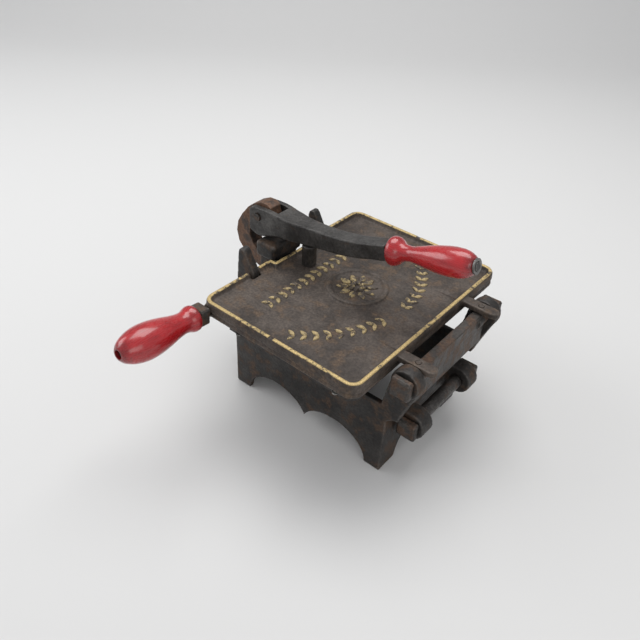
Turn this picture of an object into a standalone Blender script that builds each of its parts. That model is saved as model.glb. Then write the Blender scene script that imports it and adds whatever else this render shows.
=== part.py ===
"""Hand lever strap cutter: a cast stand, a hinged lid that carries the knives, and a press lever."""
import math

import bmesh
import bpy
from mathutils import Matrix, Vector

# Overall sizes of the lid, which sets the size of everything else.
LID_LENGTH = 0.190
LID_DEPTH = 0.2508
LID_CORNER = 0.013
LID_TOP = 0.1473
RIM_HEIGHT = 0.0163
RIM_WIDTH = 0.0070
RIM_GROOVE = 0.0009
TRAY_DROP = 0.0048
TRAY_THICK = 0.0060
BEAD_RADIUS = 0.0028

# The stand: a box with open top and bottom, arched on all four sides.
BASE_LEFT = -0.1026
BASE_RIGHT = 0.0988
BASE_DEPTH = 0.1482
BASE_HEIGHT = 0.0900
BASE_WALL = 0.0070
ARCH_SPACING = 0.0780
ARCH_MIDDLE = -0.0016
ARCH_HALF = 0.0417
ARCH_HEIGHT = 0.0320
END_ARCH_HALF = 0.0460
END_ARCH_HEIGHT = 0.0360

# Hinge of the lid.
HINGE_X = 0.1133
HINGE_Z = 0.1305
EAR_THICK = 0.0100
EAR_RADIUS = 0.0155
EAR_BOSS = 0.0030
PIVOT_RADIUS = 0.0045
BAR_THICK = 0.0105
BAR_BOTTOM = 0.1000
BAR_END_RADIUS = 0.0083
TONGUE_Y = 0.0570
TONGUE_WIDTH = 0.0120
TONGUE_THICK = 0.0062
TONGUE_REACH = 0.1330
HEAD_WIDTH = 0.0210
HEAD_THICK = 0.0080

# Guide shaft across the feed end.
SHAFT_X = 0.1140
SHAFT_Z = 0.0600
SHAFT_RADIUS = 0.0055
KNUCKLE_RADIUS = 0.0155
KNUCKLE_THICK = 0.0180
KNUCKLE_Y = 0.0440
ROLLER_RADIUS = 0.0070

# Pillar, horns and standard at the lever end.
PILLAR_LEFT = -0.1200
PILLAR_RIGHT = -0.0935
PILLAR_TOP = 0.1580
PILLAR_WIDTH = 0.0320
PILLAR_HEAD_WIDTH = 0.0460
PILLAR_HEAD_DROP = 0.0180
HORN_Y = 0.0555
HORN_THICK = 0.0100
HORN_TOP = 0.1708
HORN_LEFT = -0.1110
STANDARD_WIDTH = 0.0160
LEVER_X = -0.1240
LEVER_Z = 0.1810
LEVER_PIN_RADIUS = 0.0040
EYE_RADIUS = 0.0150
NECK_REACH = 0.0400

# Lever, its grip and the grip on the lid's corner.
LEVER_WIDTH = 0.0190
FORK_CHEEK = 0.0065
TANG_RADIUS = 0.0045
LEVER_GRIP_START = (0.0355, 0.2020)
LEVER_GRIP_RISE = 13.8
LEVER_GRIP_LENGTH = 0.0890
SIDE_GRIP_LENGTH = 0.0880
SIDE_X = -0.0860
SIDE_Z = 0.1364
SIDE_RISE = 5.2
SIDE_ROD_RADIUS = 0.0042

# Knife set under the lid and the bed under the knives.
CARRIER_LEFT = -0.0590
CARRIER_RIGHT = 0.0915
CARRIER_INSET = 0.0035
CARRIER_THICK = 0.0047
KNIFE_COUNT = 5
KNIFE_PITCH = 0.0200
KNIFE_THICK = 0.0016
KNIFE_HALF = 0.0280
KNIFE_BOLT_DROP = 0.0140
KNIFE_BOLT_RADIUS = 0.0045
SPACER_RADIUS = 0.0080
HANGER_THICK = 0.0070
BED_TOP = 0.0860
BED_THICK = 0.0080
BED_RIGHT = 0.0580
GROOVE_WIDTH = 0.0034
GROOVE_DEPTH = 0.0040
KNIFE_SINK = 0.0015

# Named clearances.
TOUCH = 0.0003
RUNNING = 0.0004
LID_GAP = 0.0030
LID_DRAFT = 0.0002

# Values that follow from the ones above.
HALF_LENGTH = LID_LENGTH / 2
HALF_DEPTH = LID_DEPTH / 2
BASE_HALF = BASE_DEPTH / 2
RIM_BOTTOM = LID_TOP - RIM_HEIGHT
TRAY_TOP = LID_TOP - TRAY_DROP
TRAY_BOTTOM = TRAY_TOP - TRAY_THICK
CARRIER_TOP = RIM_BOTTOM - TOUCH
CARRIER_BOTTOM = CARRIER_TOP - CARRIER_THICK
EAR_INNER = BASE_HALF - EAR_THICK
BAR_HALF = EAR_INNER - RUNNING - 0.0004
HEAD_SEAT = BASE_HALF + EAR_BOSS + TOUCH
NOTCH_HALF = PILLAR_HEAD_WIDTH / 2 + LID_GAP
NOTCH_EDGE = PILLAR_RIGHT + 2 * LID_GAP
HORN_NOTCH_EDGE = -HALF_LENGTH + 0.0090
HORN_INNER = HORN_NOTCH_EDGE - 0.0012
CAM_RADIUS = LEVER_Z - PILLAR_TOP - RUNNING
KNIFE_Z = CARRIER_BOTTOM - KNIFE_BOLT_DROP
HANGER_Y = KNIFE_PITCH * (KNIFE_COUNT + 1) / 2
KNIFE_EDGE = BED_TOP - KNIFE_SINK

for old in list(bpy.data.objects):
    bpy.data.objects.remove(old, do_unlink=True)

parts = bpy.data.collections.new("strap_cutter")
tools = bpy.data.collections.new("cutters")
bpy.context.scene.collection.children.link(parts)
bpy.context.scene.collection.children.link(tools)


def material(name, colour, roughness, metallic):
    """A plain Principled material."""
    made = bpy.data.materials.new(name)
    made.use_nodes = True
    shader = made.node_tree.nodes["Principled BSDF"]
    shader.inputs["Base Color"].default_value = (*colour, 1.0)
    shader.inputs["Roughness"].default_value = roughness
    shader.inputs["Metallic"].default_value = metallic
    made.diffuse_color = (*colour, 1.0)
    return made


def keep(obj, name, colour, roughness=0.6, metallic=0.8):
    """Name a finished piece, give it its own material and put it with the parts."""
    obj.name = name
    obj.data.name = name
    obj.data.materials.clear()
    obj.data.materials.append(material(name, colour, roughness, metallic))
    for home in list(obj.users_collection):
        home.objects.unlink(obj)
    parts.objects.link(obj)
    return obj


def set_aside(obj):
    """Hide a shape that only cuts or joins another one."""
    for home in list(obj.users_collection):
        home.objects.unlink(obj)
    tools.objects.link(obj)
    obj.hide_render = True
    obj.display_type = "WIRE"
    return obj


def from_bmesh(bm, name):
    """Turn a bmesh into an object among the parts."""
    bmesh.ops.recalc_face_normals(bm, faces=bm.faces)
    data = bpy.data.meshes.new(name)
    bm.to_mesh(data)
    bm.free()
    obj = bpy.data.objects.new(name, data)
    parts.objects.link(obj)
    return obj


def box(name, low, high):
    """A block between two corners, with its origin in its middle."""
    low, high = Vector(low), Vector(high)
    bm = bmesh.new()
    bmesh.ops.create_cube(bm, size=1.0)
    bmesh.ops.scale(bm, vec=high - low, verts=bm.verts)
    obj = from_bmesh(bm, name)
    obj.location = (low + high) / 2
    return obj


def aim(obj, start, end):
    """Stand an object's local +Z along the line from start to end."""
    start, end = Vector(start), Vector(end)
    obj.rotation_mode = "QUATERNION"
    obj.rotation_quaternion = (end - start).to_track_quat("Z", "Y")
    obj.location = start
    return obj


def rod(name, radius, start, end, sides=24):
    """A round bar from start to end, shaded smooth."""
    length = (Vector(end) - Vector(start)).length
    bm = bmesh.new()
    bmesh.ops.create_cone(bm, cap_ends=True, segments=sides, radius1=radius, radius2=radius, depth=length)
    bmesh.ops.translate(bm, vec=(0, 0, length / 2), verts=bm.verts)
    obj = aim(from_bmesh(bm, name), start, end)
    smooth(obj)
    return obj


def smooth(obj):
    """Shade the round sides smooth and keep the rims crisp."""
    obj.data.shade_smooth()
    obj.data.set_sharp_from_angle(angle=math.radians(35))
    return obj


def arc(centre, radius, first, last, steps):
    """Points along an arc, angles in degrees."""
    points = []
    for step in range(steps + 1):
        angle = math.radians(first + (last - first) * step / steps)
        points.append((centre[0] + radius * math.cos(angle), centre[1] + radius * math.sin(angle)))
    return points


def outline_curve(name, loops, thickness):
    """A flat filled outline, its later loops being holes, turned into a closed mesh."""
    curve = bpy.data.curves.new(name, "CURVE")
    curve.dimensions = "2D"
    curve.fill_mode = "BOTH"
    curve.extrude = thickness / 2
    for loop in loops:
        spline = curve.splines.new("POLY")
        spline.points.add(len(loop) - 1)
        for point, (across, up) in zip(spline.points, loop):
            point.co = (across, up, 0.0, 1.0)
        spline.use_cyclic_u = True
    return curve


def curve_to_mesh(curve, place, name):
    """Make a closed mesh object of a curve, in the place given by a matrix."""
    shape = bpy.data.objects.new(name, curve)
    shape.matrix_world = place
    parts.objects.link(shape)
    bpy.context.view_layer.update()
    evaluated = shape.evaluated_get(bpy.context.evaluated_depsgraph_get())
    data = bpy.data.meshes.new_from_object(evaluated)
    obj = bpy.data.objects.new(name, data)
    obj.matrix_world = shape.matrix_world
    bpy.data.objects.remove(shape, do_unlink=True)
    bm = bmesh.new()
    bm.from_mesh(data)
    bmesh.ops.remove_doubles(bm, verts=bm.verts, dist=0.00001)
    bmesh.ops.recalc_face_normals(bm, faces=bm.faces)
    bm.to_mesh(data)
    bm.free()
    parts.objects.link(obj)
    return obj


def side_plate(name, loops, near, far):
    """A plate with its outline in X and Z, standing between two values of Y."""
    turn = Matrix.Rotation(math.radians(90), 4, "X")
    place = Matrix.Translation((0, (near + far) / 2, 0)) @ turn
    return curve_to_mesh(outline_curve(name, loops, far - near), place, name)


def end_plate(name, loops, left, right):
    """A plate with its outline in Y and Z, standing between two values of X."""
    turn = Matrix.Rotation(math.radians(90), 4, "Z") @ Matrix.Rotation(math.radians(90), 4, "X")
    place = Matrix.Translation(((left + right) / 2, 0, 0)) @ turn
    return curve_to_mesh(outline_curve(name, loops, right - left), place, name)


def flat_plate(name, loops, bottom, top):
    """A plate with its outline in X and Y, lying between two heights."""
    place = Matrix.Translation((0, 0, (bottom + top) / 2))
    return curve_to_mesh(outline_curve(name, loops, top - bottom), place, name)


def turned(name, profile, start, end, steps=24):
    """A turned piece: (radius, distance) pairs along the line from start to end."""
    bm = bmesh.new()
    corners = [bm.verts.new((radius, 0.0, along)) for radius, along in reversed(profile)]
    for first, second in zip(corners, corners[1:]):
        bm.edges.new((first, second))
    data = bpy.data.meshes.new(name)
    bm.to_mesh(data)
    bm.free()
    obj = bpy.data.objects.new(name, data)
    parts.objects.link(obj)
    screw = obj.modifiers.new("turn", "SCREW")
    screw.axis = "Z"
    screw.steps = steps
    screw.render_steps = steps
    screw.use_merge_vertices = True
    screw.merge_threshold = 0.00001
    screw.use_smooth_shade = True
    return aim(obj, start, end)


def soften(obj, width, segments=1, angle=40):
    """Round the sharp edges of a piece."""
    edge = obj.modifiers.new("soften", "BEVEL")
    edge.width = width
    edge.segments = segments
    edge.limit_method = "ANGLE"
    edge.angle_limit = math.radians(angle)
    edge.harden_normals = False
    return obj


def cut(obj, *shapes):
    """Take shapes away from a piece."""
    for shape in shapes:
        step = obj.modifiers.new("cut", "BOOLEAN")
        step.operation = "DIFFERENCE"
        step.solver = "EXACT"
        step.object = set_aside(shape)
    return obj


def join(obj, *shapes):
    """Grow a piece by shapes that overlap it."""
    for shape in shapes:
        step = obj.modifiers.new("join", "BOOLEAN")
        step.operation = "UNION"
        step.solver = "EXACT"
        step.object = set_aside(shape)
    return obj


def axis_empty(name, place):
    """An empty on a joint's axis, which carries the moving pieces."""
    empty = bpy.data.objects.new(name, None)
    empty.empty_display_size = 0.02
    empty.location = place
    parts.objects.link(empty)
    return empty


def carry(empty, pieces):
    """Parent pieces to an empty without moving them."""
    bpy.context.view_layer.update()
    for piece in pieces:
        piece.parent = empty
        piece.matrix_parent_inverse = empty.matrix_world.inverted()


IRON_DARK = (0.045, 0.042, 0.040)
IRON_LID = (0.085, 0.070, 0.062)
IRON_WORN = (0.12, 0.11, 0.105)
RUST = (0.13, 0.075, 0.05)
STEEL = (0.30, 0.29, 0.28)
BLADE = (0.45, 0.45, 0.44)
RED = (0.33, 0.012, 0.012)


# --- The stand ---------------------------------------------------------------------------------

def half_ellipse(middle, half, height, steps):
    """An arch opening, closed below the floor line."""
    points = [(middle - half, -0.001)]
    for step in range(steps + 1):
        angle = math.pi * (1 - step / steps)
        points.append((middle + half * math.cos(angle), height * math.sin(angle)))
    points.append((middle + half, -0.001))
    return points


def ear_outline():
    """The ear: up the stand's end, round the hinge eye and down to a pointed heel."""
    left = BASE_RIGHT - 0.0078
    points = [(left, 0.0705), (left, BASE_HEIGHT + 0.004)]
    points += arc((HINGE_X, HINGE_Z), EAR_RADIUS, 165, -35, 14)
    points += [(BASE_RIGHT + 0.0190, 0.1000), (BASE_RIGHT + 0.0130, 0.0820)]
    points += arc((BASE_RIGHT + 0.0095, 0.0810), 0.0035, -20, -120, 3)
    points += [(BASE_RIGHT - 0.0020, 0.0705)]
    return points


def knuckle_outline():
    """A round nosed lug on the end wall that holds the guide shaft."""
    root = BASE_RIGHT - 0.0040
    points = [(root, SHAFT_Z + KNUCKLE_RADIUS * 0.96)]
    points += arc((SHAFT_X, SHAFT_Z), KNUCKLE_RADIUS, 90, -90, 12)
    points += [(root, SHAFT_Z - KNUCKLE_RADIUS * 0.96)]
    return points


def horn_outline():
    """A guide horn: upright outside, slanting inside, round on top."""
    tip = 0.0048
    points = [(BASE_LEFT + BASE_WALL * 0.8, 0.0560), (BASE_LEFT + 0.001, 0.0560)]
    points += [(HORN_LEFT, 0.0800), (HORN_LEFT, 0.1350)]
    points += arc((HORN_LEFT + 0.0030 + tip, HORN_TOP - tip), tip, 170, 30, 6)
    points += [(HORN_INNER, LID_TOP), (HORN_INNER, RIM_BOTTOM - 0.004)]
    points += [(BASE_LEFT + BASE_WALL * 0.8, BASE_HEIGHT)]
    return points


def pillar_outline():
    """The pillar under the lever's heel, growing out of the left wall."""
    foot = BASE_LEFT + BASE_WALL * 0.8
    top = PILLAR_TOP - PILLAR_HEAD_DROP + 0.001
    return [
        (foot, 0.0450),
        (BASE_LEFT + 0.001, 0.0450),
        (PILLAR_LEFT, 0.0680),
        (PILLAR_LEFT, top),
        (PILLAR_RIGHT - 0.001, top),
        (PILLAR_RIGHT - 0.001, BASE_HEIGHT + 0.012),
        (foot, BASE_HEIGHT),
    ]


def build_base():
    """The cast stand with everything that is one casting with it."""
    base = box("base_frame", (BASE_LEFT, -BASE_HALF, 0), (BASE_RIGHT, BASE_HALF, BASE_HEIGHT))
    inner_half = BASE_HALF - BASE_WALL
    hollow = box(
        "hollow",
        (BASE_LEFT + BASE_WALL, -inner_half, -0.001),
        (BASE_RIGHT - BASE_WALL, inner_half, BASE_HEIGHT + 0.001),
    )
    cut(base, hollow)
    for side in (-1, 1):
        middle = ARCH_MIDDLE + side * ARCH_SPACING / 2
        arch = half_ellipse(middle, ARCH_HALF, ARCH_HEIGHT, 14)
        cut(base, side_plate("arch", [arch], -BASE_HALF - 0.01, BASE_HALF + 0.01))
    end_arch = half_ellipse(0.0, END_ARCH_HALF, END_ARCH_HEIGHT, 14)
    cut(base, end_plate("end_arch", [end_arch], BASE_LEFT - 0.01, BASE_RIGHT + 0.01))
    for side in (-1, 1):
        inner, outer = sorted((side * EAR_INNER, side * BASE_HALF))
        join(base, side_plate("ear", [ear_outline()], inner, outer))
        eye = (HINGE_X, side * (BASE_HALF - 0.002), HINGE_Z)
        rim = (HINGE_X, side * (BASE_HALF + EAR_BOSS), HINGE_Z)
        join(base, rod("ear_boss", EAR_RADIUS - 0.0005, eye, rim, 28))
        inner, outer = sorted((side * (KNUCKLE_Y - KNUCKLE_THICK / 2), side * (KNUCKLE_Y + KNUCKLE_THICK / 2)))
        join(base, side_plate("knuckle", [knuckle_outline()], inner, outer))
        inner, outer = sorted((side * (HORN_Y - HORN_THICK / 2), side * (HORN_Y + HORN_THICK / 2)))
        join(base, side_plate("horn", [horn_outline()], inner, outer))
        ledge_low = (BASE_LEFT + BASE_WALL - 0.001, side * inner_half, BED_TOP - BED_THICK - 0.0085)
        ledge_high = (BED_RIGHT, side * (inner_half - 0.0110), BED_TOP - BED_THICK - TOUCH)
        ledge_y = sorted((side * (inner_half + 0.001), ledge_high[1]))
        ledge = box(
            "ledge",
            (ledge_low[0], ledge_y[0], ledge_low[2]),
            (ledge_high[0], ledge_y[1], ledge_high[2]),
        )
        join(base, ledge)
    join(base, side_plate("pillar", [pillar_outline()], -PILLAR_WIDTH / 2, PILLAR_WIDTH / 2))
    head = box(
        "pillar_head",
        (PILLAR_LEFT, -PILLAR_HEAD_WIDTH / 2, PILLAR_TOP - PILLAR_HEAD_DROP),
        (PILLAR_RIGHT, PILLAR_HEAD_WIDTH / 2, PILLAR_TOP),
    )
    soften(head, 0.0020)
    join(base, head)
    eye_hole = rod(
        "eye_hole",
        PIVOT_RADIUS + TOUCH,
        (HINGE_X, -BASE_HALF - 0.02, HINGE_Z),
        (HINGE_X, BASE_HALF + 0.02, HINGE_Z),
    )
    shaft_hole = rod(
        "shaft_hole",
        SHAFT_RADIUS + TOUCH,
        (SHAFT_X, -BASE_HALF, SHAFT_Z),
        (SHAFT_X, BASE_HALF, SHAFT_Z),
    )
    cut(base, eye_hole, shaft_hole)
    for height in STANDARD_BOLT_HEIGHTS:
        start = (PILLAR_LEFT - 0.001, 0, height)
        end = (PILLAR_LEFT + STANDARD_BOLT_GRIP + 0.001, 0, height)
        cut(base, rod("standard_hole", STANDARD_BOLT_RADIUS + TOUCH, start, end, 16))
    for spot in bed_screw_places():
        start = (spot[0], spot[1], BED_TOP - BED_THICK - 0.0070)
        end = (spot[0], spot[1], BED_TOP)
        cut(base, rod("bed_hole", BED_SCREW_RADIUS + TOUCH, start, end, 16))
    return keep(base, "base_frame", IRON_DARK, 0.65, 0.7)


# --- The bed -----------------------------------------------------------------------------------

BED_SCREW_RADIUS = 0.0022
BED_SCREW_HEAD = 0.0042


def bed_screw_places():
    """Where the four bed screws stand: near the corners, over the ledges."""
    across = BASE_HALF - BASE_WALL - 0.0055
    left = BASE_LEFT + BASE_WALL + 0.0100
    right = BED_RIGHT - 0.0090
    return [(left, -across), (left, across), (right, -across), (right, across)]


def build_bed():
    """The grooved bed that the strap slides over."""
    half = BASE_HALF - BASE_WALL - TOUCH
    bed = box("bed_plate", (BASE_LEFT + BASE_WALL + TOUCH, -half, BED_TOP - BED_THICK), (BED_RIGHT, half, BED_TOP))
    for index in range(KNIFE_COUNT):
        middle = knife_place(index)
        groove = box(
            "groove",
            (-KNIFE_HALF - 0.014, middle - GROOVE_WIDTH / 2, BED_TOP - GROOVE_DEPTH),
            (KNIFE_HALF + 0.008, middle + GROOVE_WIDTH / 2, BED_TOP + 0.001),
        )
        cut(bed, groove)
    for spot in bed_screw_places():
        low = (spot[0], spot[1], BED_TOP - BED_THICK - 0.001)
        high = (spot[0], spot[1], BED_TOP + 0.001)
        seat = (spot[0], spot[1], BED_TOP - 0.0025)
        cut(bed, rod("screw_hole", BED_SCREW_RADIUS + TOUCH, low, high, 16))
        cut(bed, rod("screw_seat", BED_SCREW_HEAD + TOUCH, seat, high, 16))
    made = [keep(bed, "bed_plate", IRON_WORN, 0.5, 0.9)]
    for number, spot in enumerate(bed_screw_places(), 1):
        profile = [
            (0.0, -0.0130),
            (BED_SCREW_RADIUS, -0.0130),
            (BED_SCREW_RADIUS, -0.0022),
            (BED_SCREW_HEAD, -0.0022),
            (BED_SCREW_HEAD, 0.0),
            (0.0, 0.0),
        ]
        top = (spot[0], spot[1], BED_TOP)
        screw = turned("bed_screw", profile, top, (spot[0], spot[1], BED_TOP + 1), 16)
        made.append(keep(screw, f"bed_screw_{number}", STEEL, 0.45, 1.0))
    return made


# --- The hinge end -----------------------------------------------------------------------------

def square_bolt(name, seat, inward, shank_radius, shank_length, head=HEAD_WIDTH):
    """A square headed bolt: seat is the head's inner face, inward the shank's end."""
    seat, inward = Vector(seat), Vector(inward)
    along = (inward - seat).normalized()
    shank = rod(name, shank_radius, seat - along * 0.001, seat + along * shank_length, 20)
    bm = bmesh.new()
    bmesh.ops.create_cube(bm, size=1.0)
    bmesh.ops.scale(bm, vec=(head, head, HEAD_THICK), verts=bm.verts)
    bmesh.ops.translate(bm, vec=(0, 0, -HEAD_THICK / 2), verts=bm.verts)
    cap = aim(from_bmesh(bm, name + "_head"), seat, inward)
    soften(cap, 0.0018)
    join(shank, cap)
    return shank


def build_hinge():
    """Pivot bolts through both ears, and the guide shaft with its roller and nut."""
    made = []
    for side, label in ((-1, "near"), (1, "far")):
        seat = (HINGE_X, side * HEAD_SEAT, HINGE_Z)
        inward = (HINGE_X, 0, HINGE_Z)
        length = HEAD_SEAT - BAR_HALF + 0.012
        bolt = square_bolt("pivot", seat, inward, PIVOT_RADIUS, length)
        made.append(keep(bolt, f"hinge_bolt_{label}", IRON_WORN, 0.55, 0.85))
    outer = KNUCKLE_Y + KNUCKLE_THICK / 2 + TOUCH
    seat = (SHAFT_X, -outer, SHAFT_Z)
    shaft = square_bolt("shaft", seat, (SHAFT_X, 0, SHAFT_Z), SHAFT_RADIUS, 2 * outer + HEAD_THICK + 0.003)
    made.append(keep(shaft, "guide_shaft", IRON_DARK, 0.55, 0.85))
    bore = rod("bore", SHAFT_RADIUS + TOUCH, (SHAFT_X, 0, SHAFT_Z), (SHAFT_X, 1, SHAFT_Z), 20)
    nut_low = (SHAFT_X - HEAD_WIDTH / 2, outer, SHAFT_Z - HEAD_WIDTH / 2)
    nut_high = (SHAFT_X + HEAD_WIDTH / 2, outer + HEAD_THICK, SHAFT_Z + HEAD_WIDTH / 2)
    nut = soften(box("nut", nut_low, nut_high), 0.0018)
    made.append(keep(cut(nut, bore), "shaft_nut", IRON_DARK, 0.55, 0.85))
    return made


def build_roller():
    """The loose sleeve on the guide shaft that the strap runs over."""
    half = KNUCKLE_Y - KNUCKLE_THICK / 2 - RUNNING
    bore = SHAFT_RADIUS + RUNNING
    profile = [
        (bore, -half),
        (ROLLER_RADIUS - 0.0010, -half),
        (ROLLER_RADIUS, -half + 0.0010),
        (ROLLER_RADIUS, half - 0.0010),
        (ROLLER_RADIUS - 0.0010, half),
        (bore, half),
        (bore, -half),
    ]
    roller = turned("guide_roller", profile, (SHAFT_X, 0, SHAFT_Z), (SHAFT_X, 1, SHAFT_Z), 28)
    return keep(roller, "guide_roller", IRON_WORN, 0.5, 0.9)


# --- The standard ------------------------------------------------------------------------------

STANDARD_BOLT_RADIUS = 0.0040
STANDARD_BOLT_GRIP = 0.0150
STANDARD_BOLT_HEIGHTS = (0.0820, 0.1010)
STANDARD_FOOT_THICK = 0.0080


def standard_outline():
    """The swan neck: a foot on the pillar, a swing outwards and an eye over the heel."""
    face = PILLAR_LEFT - TOUCH
    back = face - STANDARD_FOOT_THICK
    eye = (LEVER_X, LEVER_Z)
    points = [(face, 0.0730), (face, 0.1265), (face - 0.0090, 0.1320)]
    points += [(face - 0.0180, 0.1395), (face - 0.0230, 0.1500), (face - 0.0215, 0.1620)]
    points += arc(eye, EYE_RADIUS, 215, 390, 12)
    points += [(LEVER_X + 0.0125, LEVER_Z + 0.0120), (LEVER_X + 0.0070, LEVER_Z + 0.0150)]
    points += [(LEVER_X - 0.0020, LEVER_Z + 0.0145), (LEVER_X - 0.0120, LEVER_Z + 0.0095)]
    points += [(LEVER_X - 0.0220, LEVER_Z + 0.0010), (LEVER_X - 0.0310, LEVER_Z - 0.0105)]
    points += [(LEVER_X - NECK_REACH + 0.0025, LEVER_Z - 0.0215), (LEVER_X - NECK_REACH, LEVER_Z - 0.0340)]
    points += [(LEVER_X - NECK_REACH + 0.0030, LEVER_Z - 0.0465), (LEVER_X - 0.0280, LEVER_Z - 0.0570)]
    points += [(LEVER_X - 0.0160, LEVER_Z - 0.0640), (back, LEVER_Z - 0.0680), (back, 0.0730)]
    return points


def build_standard():
    """The forged swan neck with its two bolts and the small screw that locks the pin."""
    half = STANDARD_WIDTH / 2
    neck = side_plate("standard", [standard_outline()], -half, half)
    soften(neck, 0.0012)
    bore = rod(
        "pin_bore",
        LEVER_PIN_RADIUS + RUNNING,
        (LEVER_X, -half - 0.01, LEVER_Z),
        (LEVER_X, half + 0.01, LEVER_Z),
    )
    cut(neck, bore)
    made = []
    for number, height in enumerate(STANDARD_BOLT_HEIGHTS, 1):
        outer = PILLAR_LEFT - TOUCH - STANDARD_FOOT_THICK
        hole = rod(
            "bolt_hole",
            STANDARD_BOLT_RADIUS + TOUCH,
            (outer - 0.004, 0, height),
            (PILLAR_LEFT + 0.004, 0, height),
            16,
        )
        cut(neck, hole)
        seat = (outer - TOUCH, 0, height)
        inward = (PILLAR_LEFT, 0, height)
        length = STANDARD_FOOT_THICK + STANDARD_BOLT_GRIP
        bolt = square_bolt("bolt", seat, inward, STANDARD_BOLT_RADIUS, length, 0.0135)
        made.append(keep(bolt, f"standard_bolt_{number}", RUST, 0.7, 0.6))
    made.append(keep(neck, "standard", RUST, 0.72, 0.6))
    return made


# --- The lid -----------------------------------------------------------------------------------

def lid_path(inset, steps=5):
    """The lid's edge moved inwards, with the notch that clears the pillar head."""
    length = HALF_LENGTH - inset
    depth = HALF_DEPTH - inset
    radius = LID_CORNER - inset
    notch_x = NOTCH_EDGE + inset
    notch_y = NOTCH_HALF + inset
    points = []
    points += arc((length - radius, depth - radius), radius, 0, 90, steps)
    points += arc((-length + radius, depth - radius), radius, 90, 180, steps)
    points += [(-length, notch_y), (notch_x, notch_y), (notch_x, -notch_y), (-length, -notch_y)]
    points += arc((-length + radius, -depth + radius), radius, 180, 270, steps)
    points += arc((length - radius, -depth + radius), radius, 270, 360, steps)
    return points


def rim_profile():
    """The rim's section as (inset, height): up the skirt, over the bead and down to the tray."""
    bead = (BEAD_RADIUS + LID_DRAFT, LID_TOP - BEAD_RADIUS)
    section = [(RIM_WIDTH, TRAY_BOTTOM), (RIM_WIDTH, RIM_BOTTOM), (0.0010, RIM_BOTTOM)]
    section += [(0.0, RIM_BOTTOM + 0.0010), (0.0, RIM_BOTTOM + 0.0038)]
    section += [(RIM_GROOVE, RIM_BOTTOM + 0.0046), (RIM_GROOVE, RIM_BOTTOM + 0.0058)]
    section += [(0.0, RIM_BOTTOM + 0.0068), (0.0, bead[1] - 0.0016), (LID_DRAFT, bead[1])]
    section += [(bead[0] - across, bead[1] + up) for across, up in arc((0, 0), BEAD_RADIUS, 30, 180, 5)]
    section += [(RIM_WIDTH, TRAY_TOP)]
    return section


def lofted_rim(name):
    """The tray with its rim: the rim's section carried round the lid's edge, then two flat faces."""
    bm = bmesh.new()
    rings = []
    for inset, height in rim_profile():
        rings.append([bm.verts.new((across, along, height)) for across, along in lid_path(inset)])
    count = len(rings[0])
    for lower, upper in zip(rings, rings[1:]):
        for index in range(count):
            after = (index + 1) % count
            bm.faces.new((lower[index], lower[after], upper[after], upper[index]))
    bm.faces.new(rings[0])
    bm.faces.new(rings[-1])
    return from_bmesh(bm, name)


def tongue_outline(side):
    """A round ended arm that reaches back over the hinge bar."""
    middle = side * TONGUE_Y
    half = TONGUE_WIDTH / 2
    root = HALF_LENGTH - RIM_WIDTH * 0.6
    points = [(root, middle + half), (root, middle - half)]
    points += arc((TONGUE_REACH - half, middle), half, -90, 90, 8)
    return points


def side_axis(distance):
    """A point on the corner grip's axis, measured outwards from the lid's front edge."""
    rise = math.radians(SIDE_RISE)
    return Vector((SIDE_X, -HALF_DEPTH - distance * math.cos(rise), SIDE_Z + distance * math.sin(rise)))


def build_lid():
    """The cast lid: a shallow tray with a deep rim, two tongues and the press button."""
    lid = lofted_rim("lid_plate")
    medal = [(0, -0.002), (MEDAL_RADIUS, -0.002), (MEDAL_RADIUS - 0.0010, 0.0026)]
    medal += [(MEDAL_RADIUS - 0.0050, 0.0030), (MEDAL_RADIUS - 0.0075, 0.0010), (0, 0.0010)]
    join(lid, turned("medal", medal, (MEDAL_X, 0, TRAY_TOP), (MEDAL_X, 0, 1), 36))
    for side in (-1, 1):
        join(lid, flat_plate("tongue", [tongue_outline(side)], TONGUE_TOP - TONGUE_THICK, TONGUE_TOP))
        low = (-HALF_LENGTH - 0.01, side * HORN_Y - HORN_THICK / 2 - 0.0015, RIM_BOTTOM - 0.01)
        high = (HORN_NOTCH_EDGE, side * HORN_Y + HORN_THICK / 2 + 0.0015, LID_TOP + 0.01)
        cut(lid, box("horn_notch", low, high))
        hole_low = (HINGE_X, side * TONGUE_Y, TONGUE_TOP - TONGUE_THICK - 0.002)
        hole_high = (HINGE_X, side * TONGUE_Y, TONGUE_TOP + 0.002)
        cut(lid, rod("tongue_hole", BAR_SCREW_RADIUS + TOUCH, hole_low, hole_high, 16))
    join(lid, rod("socket", SOCKET_RADIUS, side_axis(-0.0012), side_axis(-SOCKET_LENGTH), 24))
    bore_end = side_axis(-SOCKET_LENGTH + 0.0040)
    cut(lid, rod("socket_bore", SIDE_ROD_RADIUS + TOUCH, side_axis(0.02), bore_end))
    button_high = (BUTTON_X, 0, TRAY_TOP + 0.004)
    cut(lid, rod("button_seat", BUTTON_STEM + TOUCH, (BUTTON_X, 0, TRAY_BOTTOM - 0.001), button_high, 16))
    for spot in carrier_screw_places():
        low = (spot[0], spot[1], RIM_BOTTOM - 0.001)
        high = (spot[0], spot[1], RIM_BOTTOM + CARRIER_SCREW_GRIP + 0.0005)
        cut(lid, rod("carrier_hole", CARRIER_SCREW_RADIUS + TOUCH, low, high, 12))
    return keep(lid, "lid_plate", IRON_LID, 0.7, 0.6)


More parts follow.
